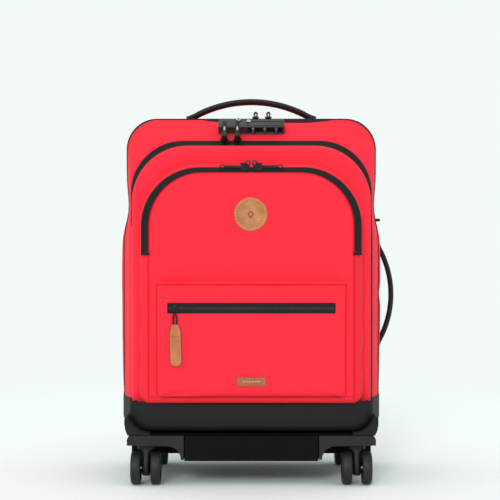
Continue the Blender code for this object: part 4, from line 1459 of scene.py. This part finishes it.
def finish_kept():
    """Give every node still shown its finish and eased edges."""
    for name, node in nodes.items():
        for prefix, material, ease in KEPT:
            if name.startswith(prefix) and not node.hide_render:
                for part in node.material_slots:
                    part.link = "OBJECT"
                    part.material = material
                add_modifier(node, "WELD", merge_threshold=0.00001)
                round_edges(node, ease, 3, 40)


front_pocket()
side_pocket(-1, "left")
side_pocket(1, "right")
pocket_zip()
pocket_pull()
label()
round_patch()
organiser_sliders()
lock_dials()
lock_trim()
lock_pullers()
zip_crescent()
handle_set()
base_corner(-1, "left")
base_corner(1, "right")
base_sill()
for caster in CASTERS:
    caster_fork(caster)
    bearing_collar(caster)
finish_kept()

# ------------------------------------------------------------------ camera, floor and light
BACKDROP = (0.896, 0.956, 0.939)
FLOOR_HALF = 1.6


def put(name, data, place=(0, 0, 0)):
    """An object that isn't part of the case."""
    thing = bpy.data.objects.new(name, data)
    bpy.context.scene.collection.objects.link(thing)
    thing.location = place
    return thing


def camera():
    """Eye level with the roundel, two metres off and square to the front."""
    data = bpy.data.cameras.new("camera")
    data.lens = 103.8
    data.sensor_width = 36
    data.clip_end = 200
    cam = put("camera", data, Vector((-0.0019, -2.12, 0.363)) + SHIFT)
    look = Vector((0, 1, -0.0168))
    cam.rotation_mode = "QUATERNION"
    cam.rotation_quaternion = look.to_track_quat("-Z", "Y")
    bpy.context.scene.camera = cam


def studio_floor():
    """Pale paper that melts into the sky further out."""
    corners = rectangle(-FLOOR_HALF, -FLOOR_HALF, FLOOR_HALF, FLOOR_HALF)
    mesh = bpy.data.meshes.new("studio_floor")
    mesh.from_pydata([(x, y, 0) for x, y in corners], [], [(0, 1, 2, 3)])
    paper = new_material("studio_paper", (0.875, 0.925, 0.915), 0.9)
    g = Graph(paper)
    g.shader.inputs["Specular IOR Level"].default_value = 0.0
    reach = g.add("ShaderNodeVectorMath", operation="LENGTH")
    g.link(g.coords, reach.inputs[0])
    fade = g.add("ShaderNodeMapRange", interpolation_type="SMOOTHSTEP")
    for socket, value in (("From Min", 0.35), ("From Max", 1.5), ("To Min", 1.0), ("To Max", 0.0)):
        fade.inputs[socket].default_value = value
    g.link(reach.outputs["Value"], fade.inputs["Value"])
    g.link(fade.outputs["Result"], g.shader.inputs["Alpha"])
    mesh.materials.append(paper)
    put("studio_floor", mesh, (0, 0, -0.0004))


def studio_light():
    """An even sky, a broad key light and a soft overhead panel."""
    world = bpy.data.worlds.new("studio_sky")
    world.use_nodes = True
    world.node_tree.nodes["Background"].inputs["Color"].default_value = (*BACKDROP, 1)
    world.node_tree.nodes["Background"].inputs["Strength"].default_value = 1.0
    bpy.context.scene.world = world
    sun = bpy.data.lights.new("key", "SUN")
    sun.energy = 0.95
    sun.angle = radians(18)
    put("key", sun).rotation_euler = (radians(62), 0, radians(-12))
    panel = bpy.data.lights.new("overhead", "AREA")
    panel.energy = 2.6
    panel.size = 2.4
    put("overhead", panel, (0, -0.35, 2.3))
    bpy.context.scene.view_settings.view_transform = "Standard"


camera()
studio_floor()
studio_light()
